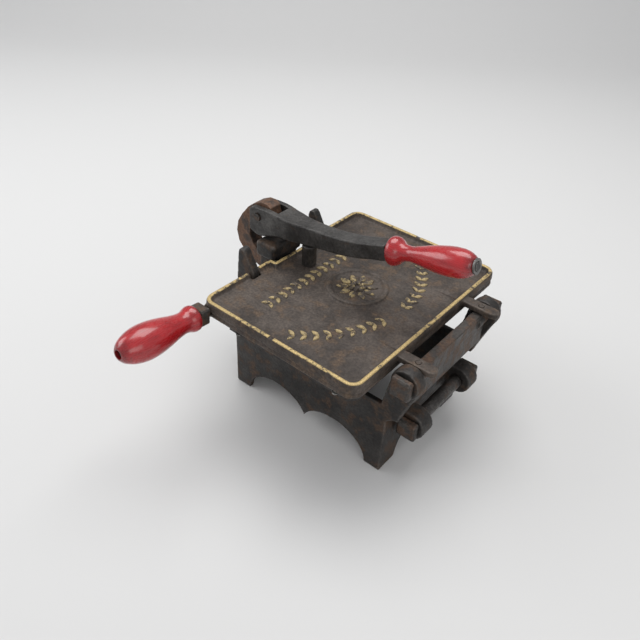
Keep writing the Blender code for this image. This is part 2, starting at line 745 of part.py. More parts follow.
MEDAL_RADIUS = 0.0330
MEDAL_X = 0.0020
TONGUE_TOP = LID_TOP - 0.0020
SOCKET_RADIUS = 0.0072
SOCKET_LENGTH = 0.0240
BUTTON_X = -0.0630
BUTTON_RADIUS = 0.0080
BUTTON_STEM = 0.0040
BUTTON_TOP = 0.1672
BAR_SCREW_RADIUS = 0.0025
CARRIER_SCREW_RADIUS = 0.0018
CARRIER_SCREW_GRIP = 0.0060
CARRIER_SCREW_HEAD = 0.0032
CARRIER_SCREW_SEAT = 0.0020


def carrier_screw_places():
    """Where the knife carrier is screwed up into the lid's rim: its four corners."""
    across = HALF_DEPTH - RIM_WIDTH + 0.0026
    left = CARRIER_LEFT + 0.0120
    right = CARRIER_RIGHT - 0.0200
    return [(left, -across), (left, across), (right, -across), (right, across)]


def build_button():
    """The round post on the lid that the lever presses on."""
    profile = [
        (0.0, TRAY_BOTTOM - TRAY_TOP - 0.0020),
        (BUTTON_STEM, TRAY_BOTTOM - TRAY_TOP - 0.0020),
        (BUTTON_STEM, TOUCH),
        (BUTTON_RADIUS, TOUCH),
        (BUTTON_RADIUS, BUTTON_TOP - TRAY_TOP - 0.0015),
        (BUTTON_RADIUS - 0.0015, BUTTON_TOP - TRAY_TOP),
        (0.0, BUTTON_TOP - TRAY_TOP),
    ]
    button = turned("press_button", profile, (BUTTON_X, 0, TRAY_TOP), (BUTTON_X, 0, 1), 24)
    return keep(button, "press_button", IRON_WORN, 0.5, 0.9)


def build_hinge_bar():
    """The upright bar under the tongues, with round ends that turn on the pivot bolts."""
    left = HINGE_X - BAR_THICK / 2
    right = HINGE_X + BAR_THICK / 2
    top = TONGUE_TOP - TONGUE_THICK - TOUCH
    bar = box("hinge_bar", (left, -BAR_HALF + 0.0010, BAR_BOTTOM), (right, BAR_HALF - 0.0010, top))
    soften(bar, 0.0010)
    made = []
    for side, label in ((-1, "near"), (1, "far")):
        outer = (HINGE_X, side * BAR_HALF, HINGE_Z)
        inner = (HINGE_X, side * (BAR_HALF - 0.0170), HINGE_Z)
        join(bar, rod("bar_end", BAR_END_RADIUS, outer, inner, 24))
        deep = (HINGE_X, side * (BAR_HALF - 0.0130), HINGE_Z)
        out = (HINGE_X, side * (BAR_HALF + 0.002), HINGE_Z)
        cut(bar, rod("bar_bore", PIVOT_RADIUS + TOUCH, deep, out, 24))
        place = (HINGE_X, side * TONGUE_Y, TONGUE_TOP)
        low = (place[0], place[1], top - 0.0045)
        cut(bar, rod("screw_bore", BAR_SCREW_RADIUS + TOUCH, low, place, 16))
        profile = [
            (0.0, -TONGUE_THICK - 0.0040),
            (BAR_SCREW_RADIUS, -TONGUE_THICK - 0.0040),
            (BAR_SCREW_RADIUS, -TOUCH),
            (0.0, -TOUCH),
        ]
        rivet = turned("rivet", profile, place, (place[0], place[1], 1), 16)
        made.append(keep(rivet, f"tongue_rivet_{label}", IRON_WORN, 0.6, 0.8))
    made.append(keep(bar, "hinge_bar", IRON_WORN, 0.6, 0.8))
    return made


# --- The knife set -----------------------------------------------------------------------------

def knife_place(index):
    """The Y of one knife, counted from the front."""
    return (index - (KNIFE_COUNT - 1) / 2) * KNIFE_PITCH


def build_carrier():
    """The plate under the lid and its four screws."""
    inset = CARRIER_INSET
    depth = HALF_DEPTH - inset
    corner = LID_CORNER - inset
    loop = [(CARRIER_LEFT, -depth), (CARRIER_RIGHT - corner, -depth)]
    loop += arc((CARRIER_RIGHT - corner, -depth + corner), corner, -90, 0, 4)[1:]
    loop += arc((CARRIER_RIGHT - corner, depth - corner), corner, 0, 90, 4)
    loop += [(CARRIER_LEFT, depth)]
    carrier = flat_plate("knife_carrier", [loop], CARRIER_BOTTOM, CARRIER_TOP)
    made = []
    for number, spot in enumerate(carrier_screw_places(), 1):
        low = (spot[0], spot[1], CARRIER_BOTTOM - 0.001)
        high = (spot[0], spot[1], CARRIER_TOP + 0.001)
        seat = (spot[0], spot[1], CARRIER_BOTTOM + CARRIER_SCREW_SEAT + TOUCH)
        cut(carrier, rod("hole", CARRIER_SCREW_RADIUS + TOUCH, low, high, 12))
        cut(carrier, rod("seat", CARRIER_SCREW_HEAD + TOUCH, low, seat, 12))
        profile = [
            (0.0, TOUCH),
            (CARRIER_SCREW_HEAD, TOUCH),
            (CARRIER_SCREW_HEAD, CARRIER_SCREW_SEAT),
            (CARRIER_SCREW_RADIUS, CARRIER_SCREW_SEAT),
            (CARRIER_SCREW_RADIUS, CARRIER_THICK + TOUCH + CARRIER_SCREW_GRIP),
            (0.0, CARRIER_THICK + TOUCH + CARRIER_SCREW_GRIP),
        ]
        screw = turned("screw", profile, (spot[0], spot[1], CARRIER_BOTTOM), (spot[0], spot[1], 1), 12)
        made.append(keep(screw, f"carrier_screw_{number}", STEEL, 0.5, 0.9))
    made.append(keep(carrier, "knife_carrier", IRON_DARK, 0.6, 0.8))
    return made


def knife_outline():
    """A blade with a square back and a round cutting edge."""
    top = CARRIER_BOTTOM - TOUCH
    drop = top - KNIFE_EDGE
    points = [(-KNIFE_HALF, top), (-KNIFE_HALF, top - drop * 0.45)]
    for step in range(1, 12):
        angle = math.pi * (1 + step / 12)
        points.append((KNIFE_HALF * math.cos(angle), top - drop * 0.45 + drop * 0.55 * math.sin(angle)))
    points += [(KNIFE_HALF, top - drop * 0.45), (KNIFE_HALF, top)]
    return points


def hanger_outline():
    """A lug on the carrier that holds the end of the knife bolt."""
    top = CARRIER_BOTTOM - TOUCH
    half = 0.0140
    points = [(-half - 0.004, top), (-half - 0.004, top - 0.004)]
    points += arc((0, KNIFE_Z), half - 0.003, 190, 350, 10)
    points += [(half + 0.004, top - 0.004), (half + 0.004, top)]
    return points


def build_knives():
    """The blades and spacers clamped on one bolt between two hangers."""
    made = []
    bolt_bore = KNIFE_BOLT_RADIUS + TOUCH
    for index in range(KNIFE_COUNT):
        middle = knife_place(index)
        blade = side_plate("knife", [knife_outline()], middle - KNIFE_THICK / 2, middle + KNIFE_THICK / 2)
        start = (0, middle - 0.01, KNIFE_Z)
        end = (0, middle + 0.01, KNIFE_Z)
        cut(blade, rod("knife_hole", bolt_bore, start, end, 16))
        made.append(keep(blade, f"knife_{index + 1}", BLADE, 0.25, 1.0))
    stops = [-HANGER_Y + HANGER_THICK / 2]
    for index in range(KNIFE_COUNT):
        stops += [knife_place(index) - KNIFE_THICK / 2, knife_place(index) + KNIFE_THICK / 2]
    stops.append(HANGER_Y - HANGER_THICK / 2)
    for number in range(KNIFE_COUNT + 1):
        low = stops[2 * number] + TOUCH
        high = stops[2 * number + 1] - TOUCH
        profile = [(bolt_bore, low), (SPACER_RADIUS, low), (SPACER_RADIUS, high), (bolt_bore, high), (bolt_bore, low)]
        spacer = turned("spacer", profile, (0, 0, KNIFE_Z), (0, 1, KNIFE_Z), 20)
        made.append(keep(spacer, f"knife_spacer_{number + 1}", STEEL, 0.4, 1.0))
    for side, label in ((-1, "near"), (1, "far")):
        middle = side * HANGER_Y
        hanger = side_plate("hanger", [hanger_outline()], middle - HANGER_THICK / 2, middle + HANGER_THICK / 2)
        start = (0, middle - 0.01, KNIFE_Z)
        end = (0, middle + 0.01, KNIFE_Z)
        cut(hanger, rod("hanger_hole", bolt_bore, start, end, 16))
        made.append(keep(hanger, f"knife_hanger_{label}", IRON_DARK, 0.6, 0.8))
    outer = HANGER_Y + HANGER_THICK / 2 + TOUCH
    nut_thick = 0.0060
    nut_width = 0.0130
    bolt = square_bolt("bolt", (0, -outer, KNIFE_Z), (0, 0, KNIFE_Z), KNIFE_BOLT_RADIUS,
                       2 * outer + nut_thick + 0.002, nut_width)
    made.append(keep(bolt, "knife_bolt", STEEL, 0.45, 1.0))
    nut_low = (-nut_width / 2, outer, KNIFE_Z - nut_width / 2)
    nut_high = (nut_width / 2, outer + nut_thick, KNIFE_Z + nut_width / 2)
    nut = soften(box("nut", nut_low, nut_high), 0.0010)
    cut(nut, rod("nut_bore", bolt_bore, (0, 0, KNIFE_Z), (0, 1, KNIFE_Z), 16))
    made.append(keep(nut, "knife_nut", STEEL, 0.45, 1.0))
    return made


# --- The press lever ---------------------------------------------------------------------------

def lever_axis(distance):
    """A point on the lever grip's axis, measured from the lever's shoulder."""
    rise = math.radians(LEVER_GRIP_RISE)
    return Vector((
        LEVER_GRIP_START[0] + distance * math.cos(rise),
        0.0,
        LEVER_GRIP_START[1] + distance * math.sin(rise),
    ))


def lever_outline():
    """The lever from the side: a round heel under the pin, then an arm that rises to the grip."""
    shoulder = lever_axis(0.0)
    rise = math.radians(LEVER_GRIP_RISE)
    across = (-math.sin(rise) * SHOULDER_HALF, math.cos(rise) * SHOULDER_HALF)
    points = [(LEVER_X - 0.0130, LEVER_Z - 0.0182)]
    points += arc((LEVER_X, LEVER_Z), CAM_RADIUS, 236, 300, 7)
    points += [(-0.0960, 0.1672), (-0.0810, 0.1676), (-0.0670, 0.1690), (-0.0450, 0.1722)]
    points += [(-0.0200, 0.1762), (0.0050, 0.1828), (0.0220, 0.1890)]
    points += [(shoulder.x - across[0], shoulder.z - across[1])]
    points += [(shoulder.x + across[0], shoulder.z + across[1])]
    points += [(0.0180, 0.2052), (0.0000, 0.1998), (-0.0190, 0.1955), (-0.0450, 0.1925)]
    points += [(-0.0710, 0.1905), (-0.0900, 0.1908), (-0.1070, 0.1925), (-0.1180, 0.1922)]
    points += [(LEVER_X - 0.0085, LEVER_Z + 0.0100), (LEVER_X - 0.0130, LEVER_Z + 0.0050)]
    return points


def lever_plan(half_root):
    """The lever from above: wide at the fork, narrow along the arm."""
    half_arm = LEVER_WIDTH / 2
    back = LEVER_X - 0.0300
    front = LEVER_GRIP_START[0] + 0.0300
    near = [(back, -half_root), (-0.1020, -half_root), (-0.0850, -half_root + 0.0012)]
    near += [(-0.0650, -half_arm - 0.0010), (-0.0450, -half_arm), (front, -half_arm)]
    return near + [(across, -along) for across, along in reversed(near)]


def fork_outline():
    """The slot in the lever's root that lets the standard's eye in."""
    back = LEVER_X - 0.0360
    front = LEVER_X + FORK_REACH
    return [(back, 0.1400), (front, 0.1400), (front, 0.2100), (back, 0.2100)]


FORK_REACH = 0.0235
SHOULDER_HALF = 0.0088


def build_lever():
    """The lever with its fork, pin, tang, grip and the washer riveted on the tang's end."""
    half_root = STANDARD_WIDTH / 2 + RUNNING + FORK_CHEEK
    lever = side_plate("press_lever", [lever_outline()], -half_root - 0.001, half_root + 0.001)
    plan = flat_plate("lever_plan", [lever_plan(half_root)], 0.12, 0.25)
    overlap = lever.modifiers.new("plan", "BOOLEAN")
    overlap.operation = "INTERSECT"
    overlap.solver = "EXACT"
    overlap.object = set_aside(plan)
    soften(lever, 0.0016)
    slot_half = STANDARD_WIDTH / 2 + RUNNING
    cut(lever, side_plate("fork", [fork_outline()], -slot_half, slot_half))
    cut(lever, rod("pin_hole", LEVER_PIN_RADIUS + TOUCH, (LEVER_X, -0.03, LEVER_Z), (LEVER_X, 0.03, LEVER_Z)))
    tang = rod("tang", TANG_RADIUS, lever_axis(-0.010), lever_axis(LEVER_GRIP_LENGTH + 0.0030), 16)
    join(lever, tang)
    made = [keep(lever, "press_lever", IRON_WORN, 0.5, 0.85)]
    end = half_root + 0.0015
    pin = rod("lever_pin", LEVER_PIN_RADIUS, (LEVER_X, -end, LEVER_Z), (LEVER_X, end, LEVER_Z), 20)
    made.append(keep(pin, "lever_pin", STEEL, 0.45, 1.0))
    bore = TANG_RADIUS + TOUCH
    profile = grip_profile(LEVER_GRIP_LENGTH, bore, LEVER_GRIP_KNOTS)
    grip = turned("lever_grip", profile, lever_axis(TOUCH), lever_axis(1), 28)
    made.append(keep(grip, "lever_grip", RED, 0.25, 0.0))
    washer = [
        (bore, LEVER_GRIP_LENGTH + 0.0006),
        (0.0075, LEVER_GRIP_LENGTH + 0.0006),
        (0.0075, LEVER_GRIP_LENGTH + 0.0020),
        (bore, LEVER_GRIP_LENGTH + 0.0020),
        (bore, LEVER_GRIP_LENGTH + 0.0006),
    ]
    ring = turned("lever_washer", washer, lever_axis(0), lever_axis(1), 20)
    made.append(keep(ring, "lever_washer", STEEL, 0.45, 1.0))
    return made


# --- The grips ---------------------------------------------------------------------------------

LEVER_GRIP_KNOTS = [
    (0.00, 0.0105),
    (0.02, 0.0132),
    (0.06, 0.0142),
    (0.11, 0.0128),
    (0.16, 0.0092),
    (0.24, 0.0074),
    (0.36, 0.0088),
    (0.50, 0.0114),
    (0.64, 0.0132),
    (0.78, 0.0138),
    (0.88, 0.0128),
    (0.95, 0.0104),
    (0.985, 0.0082),
    (1.00, 0.0064),
]
SIDE_GRIP_KNOTS = [
    (0.00, 0.0100),
    (0.015, 0.0122),
    (0.05, 0.0132),
    (0.09, 0.0126),
    (0.13, 0.0112),
    (0.19, 0.0106),
    (0.30, 0.0120),
    (0.44, 0.0148),
    (0.58, 0.0168),
    (0.70, 0.0172),
    (0.82, 0.0156),
    (0.92, 0.0122),
    (0.97, 0.0092),
    (1.00, 0.0060),
]


def grip_profile(length, bore, knots):
    """A turned grip's section: knots are (share of the length, radius) from collar to end."""
    section = [(bore, 0.0)]
    for share, radius in knots:
        section.append((radius, share * length))
    section += [(bore, length), (bore, 0.0)]
    return section


def build_side_handle():
    """The fixed rod, block and washer of the corner grip."""
    rod_end = FERRULE_START + FERRULE_LENGTH + SIDE_GRIP_LENGTH - 0.0030
    spindle = rod("side_rod", SIDE_ROD_RADIUS, side_axis(-SOCKET_LENGTH + 0.0050), side_axis(rod_end), 20)
    made = [keep(spindle, "side_rod", STEEL, 0.5, 0.9)]
    bore = rod("ferrule_bore", SIDE_ROD_RADIUS + TOUCH, side_axis(-0.01), side_axis(0.2), 20)
    bm = bmesh.new()
    bmesh.ops.create_cube(bm, size=1.0)
    bmesh.ops.scale(bm, vec=(FERRULE_WIDTH, FERRULE_WIDTH, FERRULE_LENGTH), verts=bm.verts)
    bmesh.ops.translate(bm, vec=(0, 0, FERRULE_LENGTH / 2), verts=bm.verts)
    block = aim(from_bmesh(bm, "side_block"), side_axis(FERRULE_START), side_axis(1))
    soften(block, 0.0016)
    made.append(keep(cut(block, bore), "side_block", IRON_DARK, 0.55, 0.85))
    return made


FERRULE_START = 0.0032
FERRULE_LENGTH = 0.0120
FERRULE_WIDTH = 0.0180


def build_side_grip():
    """The loose grip that turns on the corner rod."""
    profile = grip_profile(SIDE_GRIP_LENGTH, SIDE_ROD_RADIUS + RUNNING, SIDE_GRIP_KNOTS)
    start = side_axis(FERRULE_START + FERRULE_LENGTH + RUNNING)
    grip = turned("side_grip", profile, start, side_axis(1), 28)
    return keep(grip, "side_grip", RED, 0.25, 0.0)


def footprint_middle():
    """The middle of the whole object's outline on the floor, where the origin belongs."""
    grip_end = FERRULE_START + FERRULE_LENGTH + RUNNING + SIDE_GRIP_LENGTH
    near = side_axis(grip_end).y - SIDE_GRIP_KNOTS[-1][1] * math.sin(math.radians(SIDE_RISE))
    return Vector(((LEVER_X - NECK_REACH + TONGUE_REACH) / 2, (near + HALF_DEPTH) / 2, 0.0))


build_base()
build_bed()
build_hinge()
build_standard()
lid_pieces = [build_lid(), build_button()] + build_hinge_bar() + build_carrier() + build_knives()
lid_pieces += build_side_handle()
carry(axis_empty("lid_hinge", (HINGE_X, 0, HINGE_Z)), lid_pieces)
carry(axis_empty("lever_pivot", (LEVER_X, 0, LEVER_Z)), build_lever())
carry(axis_empty("side_grip_axis", side_axis(0)), [build_side_grip()])
carry(axis_empty("roller_axis", (SHAFT_X, 0, SHAFT_Z)), [build_roller()])

for piece in list(parts.objects) + list(tools.objects):
    if piece.parent is None:
        piece.location -= footprint_middle()
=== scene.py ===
import math

import bmesh
import bpy
import numpy as np
from mathutils import Matrix, Vector, noise


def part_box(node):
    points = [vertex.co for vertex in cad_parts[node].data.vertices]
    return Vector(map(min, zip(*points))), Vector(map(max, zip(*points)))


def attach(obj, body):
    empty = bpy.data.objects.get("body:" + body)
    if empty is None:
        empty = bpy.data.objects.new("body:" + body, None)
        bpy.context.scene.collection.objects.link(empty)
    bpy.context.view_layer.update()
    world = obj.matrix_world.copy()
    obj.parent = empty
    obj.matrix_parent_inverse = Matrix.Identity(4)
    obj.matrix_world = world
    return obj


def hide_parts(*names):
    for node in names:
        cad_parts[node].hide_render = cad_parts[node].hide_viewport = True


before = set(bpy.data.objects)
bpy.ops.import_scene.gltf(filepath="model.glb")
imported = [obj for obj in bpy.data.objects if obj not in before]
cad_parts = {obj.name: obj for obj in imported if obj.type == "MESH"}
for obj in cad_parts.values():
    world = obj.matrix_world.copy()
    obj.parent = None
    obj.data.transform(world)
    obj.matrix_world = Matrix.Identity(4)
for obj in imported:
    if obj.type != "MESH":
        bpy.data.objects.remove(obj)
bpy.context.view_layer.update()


# --- The stand ---
# A grey iron sand casting: the arched box, its horns, pillar, ears and knuckles in one pour.
# Left as cast and blackened, with the corners rubbed and brown rust in patches.

def shader_node(tree, kind, place, **settings):
    made = tree.nodes.new(kind)
    made.location = place
    for name, value in settings.items():
        setattr(made, name, value)
    return made


def noise_at(tree, where, scale, detail, place, rough=0.55):
    grain = shader_node(tree, "ShaderNodeTexNoise", place)
    grain.inputs["Scale"].default_value = scale
    grain.inputs["Detail"].default_value = detail
    grain.inputs["Roughness"].default_value = rough
    tree.links.new(where, grain.inputs["Vector"])
    return grain.outputs["Fac"]


def stretch_range(tree, value, low, high, out_low, out_high, place):
    span = shader_node(tree, "ShaderNodeMapRange", place, interpolation_type="SMOOTHSTEP")
    span.inputs["From Min"].default_value = low
    span.inputs["From Max"].default_value = high
    span.inputs["To Min"].default_value = out_low
    span.inputs["To Max"].default_value = out_high
    tree.links.new(value, span.inputs["Value"])
    return span.outputs["Result"]


def blend_colours(tree, share, first, second, place, how="MIX"):
    mixed = shader_node(tree, "ShaderNodeMix", place, data_type="RGBA", blend_type=how)
    tree.links.new(share, mixed.inputs[0])
    tree.links.new(first, mixed.inputs[6])
    tree.links.new(second, mixed.inputs[7])
    return mixed.outputs[2]


def combine(tree, how, first, second, place):
    sum_node = shader_node(tree, "ShaderNodeMath", place, operation=how, use_clamp=(how == "MULTIPLY"))
    for socket, value in zip(sum_node.inputs, (first, second)):
        if isinstance(value, (int, float)):
            socket.default_value = value
        else:
            tree.links.new(value, socket)
    return sum_node.outputs[0]


def give_skin_outputs(tree):
    tree.interface.new_socket("Color", in_out="OUTPUT", socket_type="NodeSocketColor")
    tree.interface.new_socket("Roughness", in_out="OUTPUT", socket_type="NodeSocketFloat")
    tree.interface.new_socket("Height", in_out="OUTPUT", socket_type="NodeSocketFloat")


iron_skin = bpy.data.node_groups.new("iron_skin", "ShaderNodeTree")
for name, kind, value in (
    ("Deep", "NodeSocketColor", (0.02, 0.018, 0.017, 1)),
    ("Body", "NodeSocketColor", (0.05, 0.046, 0.042, 1)),
    ("Rust", "NodeSocketColor", (0.09, 0.045, 0.025, 1)),
    ("Rubbed", "NodeSocketColor", (0.20, 0.18, 0.16, 1)),
    ("Rust Share", "NodeSocketFloat", 0.3),
    ("Rubbing", "NodeSocketFloat", 0.6),
    ("Dry", "NodeSocketFloat", 0.6),
):
    socket = iron_skin.interface.new_socket(name, in_out="INPUT", socket_type=kind)
    socket.default_value = value
give_skin_outputs(iron_skin)
given = shader_node(iron_skin, "NodeGroupInput", (-1400, 0))
result = shader_node(iron_skin, "NodeGroupOutput", (900, 0))
spot = shader_node(iron_skin, "ShaderNodeTexCoord", (-1400, 500)).outputs["Object"]
clouds = noise_at(iron_skin, spot, 26.0, 6.0, (-1100, 500), 0.62)
blotches = noise_at(iron_skin, spot, 75.0, 5.0, (-1100, 250), 0.6)
sand = noise_at(iron_skin, spot, 420.0, 4.0, (-1100, 0), 0.6)
fine = noise_at(iron_skin, spot, 1500.0, 2.0, (-1100, -250))
pits = shader_node(iron_skin, "ShaderNodeTexVoronoi", (-1100, -500), feature="SMOOTH_F1")
pits.inputs["Scale"].default_value = 230.0
iron_skin.links.new(spot, pits.inputs["Vector"])
tone = blend_colours(iron_skin, stretch_range(iron_skin, clouds, 0.36, 0.66, 0, 1, (-850, 500)),
                     given.outputs["Deep"], given.outputs["Body"], (-600, 500))
rust_floor = combine(iron_skin, "SUBTRACT", 0.78, given.outputs["Rust Share"], (-850, 300))
rust_raw = combine(iron_skin, "SUBTRACT", blotches, rust_floor, (-650, 250))
rust_mask = stretch_range(iron_skin, rust_raw, -0.04, 0.14, 0, 0.85, (-450, 250))
tone = blend_colours(iron_skin, rust_mask, tone, given.outputs["Rust"], (-250, 450))
edges = shader_node(iron_skin, "ShaderNodeAttribute", (-1100, -750), attribute_name="wear").outputs["Fac"]
patchy = stretch_range(iron_skin, blotches, 0.30, 0.62, 0.25, 1, (-850, -650))
rubbed = combine(iron_skin, "MULTIPLY", edges, patchy, (-650, -650))
rubbed = combine(iron_skin, "MULTIPLY", rubbed, given.outputs["Rubbing"], (-450, -650))
tone = blend_colours(iron_skin, rubbed, tone, given.outputs["Rubbed"], (-50, 350))
speck = stretch_range(iron_skin, sand, 0.25, 0.75, 0.66, 1.36, (-450, 0))
speck_colour = shader_node(iron_skin, "ShaderNodeCombineColor", (-250, 50))
for socket in speck_colour.inputs:
    iron_skin.links.new(speck, socket)
whole = shader_node(iron_skin, "ShaderNodeMix", (150, 350), data_type="RGBA", blend_type="MULTIPLY")
whole.inputs[0].default_value = 1.0
iron_skin.links.new(tone, whole.inputs[6])
iron_skin.links.new(speck_colour.outputs[0], whole.inputs[7])
iron_skin.links.new(whole.outputs[2], result.inputs["Color"])
dull = stretch_range(iron_skin, blotches, 0.3, 0.7, -0.10, 0.14, (-250, -200))
dull = combine(iron_skin, "ADD", dull, given.outputs["Dry"], (-50, -200))
shine = combine(iron_skin, "MULTIPLY", rubbed, 0.28, (-250, -500))
dull = combine(iron_skin, "SUBTRACT", dull, shine, (150, -250))
iron_skin.links.new(dull, result.inputs["Roughness"])
pit_depth = stretch_range(iron_skin, pits.outputs["Distance"], 0.0, 0.42, -0.5, 0.0, (-850, -450))
sand_rise = combine(iron_skin, "MULTIPLY", sand, 0.75, (-650, -100))
rise = combine(iron_skin, "ADD", sand_rise, pit_depth, (-450, -300))
rise = combine(iron_skin, "ADD", rise, combine(iron_skin, "MULTIPLY", fine, 0.22, (-650, -250)), (-250, -350))
rise = combine(iron_skin, "ADD", rise, combine(iron_skin, "MULTIPLY", clouds, 0.9, (-650, 100)), (-50, -400))
iron_skin.links.new(rise, result.inputs["Height"])


def feed_shader(tree, skin, shader, strength, depth):
    """Links a skin's colour and roughness to the shader, and its height through a bump."""
    bump = shader_node(tree, "ShaderNodeBump", (-200, -200))
    bump.inputs["Strength"].default_value = strength
    bump.inputs["Distance"].default_value = depth
    tree.links.new(skin.outputs["Color"], shader.inputs["Base Color"])
    tree.links.new(skin.outputs["Roughness"], shader.inputs["Roughness"])
    tree.links.new(skin.outputs["Height"], bump.inputs["Height"])
    tree.links.new(bump.outputs["Normal"], shader.inputs["Normal"])


def iron_finish(name, deep, body, rust, rubbed, rust_share, rubbing, dry, metallic, depth=0.00045):
    finish = bpy.data.materials.new(name)
    finish.use_nodes = True
    tree = finish.node_tree
    shader = tree.nodes["Principled BSDF"]
    shader.inputs["Metallic"].default_value = metallic
    shader.inputs["Specular IOR Level"].default_value = 0.42
    skin = shader_node(tree, "ShaderNodeGroup", (-400, 100), node_tree=iron_skin)
    for socket, colour in zip(("Deep", "Body", "Rust", "Rubbed"), (deep, body, rust, rubbed)):
        skin.inputs[socket].default_value = (*colour, 1)
    skin.inputs["Rust Share"].default_value = rust_share
    skin.inputs["Rubbing"].default_value = rubbing
    skin.inputs["Dry"].default_value = dry
    feed_shader(tree, skin, shader, 0.7, depth)
    return finish


def mark_rubbed_edges(data):
    """Writes how far each point stands out from its neighbours, as the attribute wear."""
    count = len(data.vertices)
    points = np.empty(count * 3)
    data.vertices.foreach_get("co", points)
    points = points.reshape(-1, 3)
    normals = np.empty(count * 3)
    data.vertices.foreach_get("normal", normals)
    normals = normals.reshape(-1, 3)
    pairs = np.empty(len(data.edges) * 2, int)
    data.edges.foreach_get("vertices", pairs)
    first, second = pairs.reshape(-1, 2).T
    step = points[first] - points[second]
    reach = np.linalg.norm(step, axis=1) + 1e-9
    bulge = np.zeros(count)
    shared = np.zeros(count)
    np.add.at(bulge, first, (step * normals[first]).sum(1) / reach)
    np.add.at(bulge, second, -(step * normals[second]).sum(1) / reach)
    np.add.at(shared, first, 1)
    np.add.at(shared, second, 1)
    bulge /= np.maximum(shared, 1)
    for _ in range(2):
        spread = np.zeros(count)
        np.add.at(spread, first, bulge[second])
        np.add.at(spread, second, bulge[first])
        bulge = 0.5 * bulge + 0.5 * spread / np.maximum(shared, 1)
    wear = np.clip((bulge - 0.05) / 0.16, 0, 1)
    layer = data.attributes.new("wear", "FLOAT", "POINT")
    layer.data.foreach_set("value", wear.astype(np.float32))


def worn_casting(name, node, cell, keep=1.0, rounds=2, dents=0.0002, grain=60.0):
    """The CAD node's shape with its edges rounded off and its faces gently uneven."""
    bm = bmesh.new()
    bm.from_mesh(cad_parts[node].data)
    bmesh.ops.remove_doubles(bm, verts=bm.verts, dist=0.00001)
    data = bpy.data.meshes.new(name)
    bm.to_mesh(data)
    bm.free()
    rough = bpy.data.objects.new(name + "_rough", data)
    bpy.context.scene.collection.objects.link(rough)
    skin = rough.modifiers.new("skin", "REMESH")
    skin.mode = "VOXEL"
    skin.voxel_size = cell
    rounding = rough.modifiers.new("rounding", "SMOOTH")
    rounding.factor = 0.5
    rounding.iterations = rounds
    if keep < 1.0:
        lighter = rough.modifiers.new("lighter", "DECIMATE")
        lighter.ratio = keep
    bpy.context.view_layer.update()
    evaluated = rough.evaluated_get(bpy.context.evaluated_depsgraph_get())
    made = bpy.data.meshes.new_from_object(evaluated)
    bpy.data.objects.remove(rough, do_unlink=True)
    made.name = name
    places = np.empty(len(made.vertices) * 3)
    made.vertices.foreach_get("co", places)
    outward = np.empty(len(made.vertices) * 3)
    made.vertices.foreach_get("normal", outward)
    places = places.reshape(-1, 3)
    sink = [0.5 + 0.5 * noise.noise(spot) + 0.25 * noise.noise(spot * 2.7)
            for spot in map(Vector, places * grain)]
    places -= outward.reshape(-1, 3) * dents * np.maximum(0.0, np.array(sink))[:, None]
    made.vertices.foreach_set("co", places.ravel())
    made.update()
    mark_rubbed_edges(made)
    made.shade_smooth()
    piece = bpy.data.objects.new(name, made)
    bpy.context.scene.collection.objects.link(piece)
    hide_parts(node)
    return piece


def dress(piece, finish, body):
    """Gives a piece its finish and fixes it to its body."""
    piece.data.materials.clear()
    piece.data.materials.append(finish)
    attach(piece, body)
    return piece


stand_iron = iron_finish("stand_iron", (0.016, 0.0145, 0.0135), (0.040, 0.036, 0.033), (0.075, 0.045, 0.028),
                         (0.17, 0.155, 0.14), 0.26, 0.55, 0.56, 0.25)
stand = worn_casting("stand_casting", "base_frame", 0.00125, keep=0.55, rounds=2, dents=0.00035)
dress(stand, stand_iron, "stand")


# --- The bed ---
# A flat grooved iron plate screwed on ledges inside the stand; the blades run in its grooves.
# It is brighter than the stand, and its four screws are plain steel.

bed_iron = iron_finish("bed_iron", (0.06, 0.056, 0.052), (0.13, 0.125, 0.12), (0.10, 0.055, 0.032),
                       (0.30, 0.29, 0.27), 0.20, 0.6, 0.42, 0.7, depth=0.0002)
screw_steel = iron_finish("screw_steel", (0.12, 0.115, 0.11), (0.24, 0.235, 0.225), (0.12, 0.07, 0.045),
                          (0.45, 0.44, 0.42), 0.22, 0.6, 0.36, 0.85, depth=0.00015)


def refinish(finish, *nodes):
    for node in nodes:
        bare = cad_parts[node]
        bare.material_slots[0].material = finish


refinish(bed_iron, "bed_plate")
refinish(screw_steel, "bed_screw_1", "bed_screw_2", "bed_screw_3", "bed_screw_4")


# --- The hinge end ---
# Two square headed pivot bolts carry the lid's bar; a long square headed bolt with a nut carries a roller.
# All are dark iron, rounded and rubbed at the corners and browned in patches.

bolt_iron = iron_finish("bolt_iron", (0.022, 0.020, 0.0185), (0.058, 0.052, 0.047), (0.10, 0.058, 0.036),
                        (0.24, 0.22, 0.20), 0.30, 0.75, 0.50, 0.4)
for piece_name, node, body in (
    ("pivot_bolt_near", "hinge_bolt_near", "stand"),
    ("pivot_bolt_far", "hinge_bolt_far", "stand"),
    ("guide_bolt", "guide_shaft", "stand"),
    ("guide_nut", "shaft_nut", "stand"),
):
    bolt = worn_casting(piece_name, node, 0.00045, rounds=3, dents=0.00018, grain=150.0)
    dress(bolt, bolt_iron, body)

roller_iron = iron_finish("roller_iron", (0.035, 0.032, 0.030), (0.085, 0.078, 0.072), (0.10, 0.06, 0.04),
                          (0.26, 0.25, 0.23), 0.22, 0.6, 0.40, 0.55)
roller = worn_casting("strap_roller", "guide_roller", 0.00045, rounds=2, dents=0.00010, grain=120.0)
dress(roller, roller_iron, "guide_roller")


# --- The standard ---
# A swan neck forged from flat bar, bolted on the outside of the pillar, with the lever's pin through its eye.
# It is unpainted, and red brown in patches over darker iron.

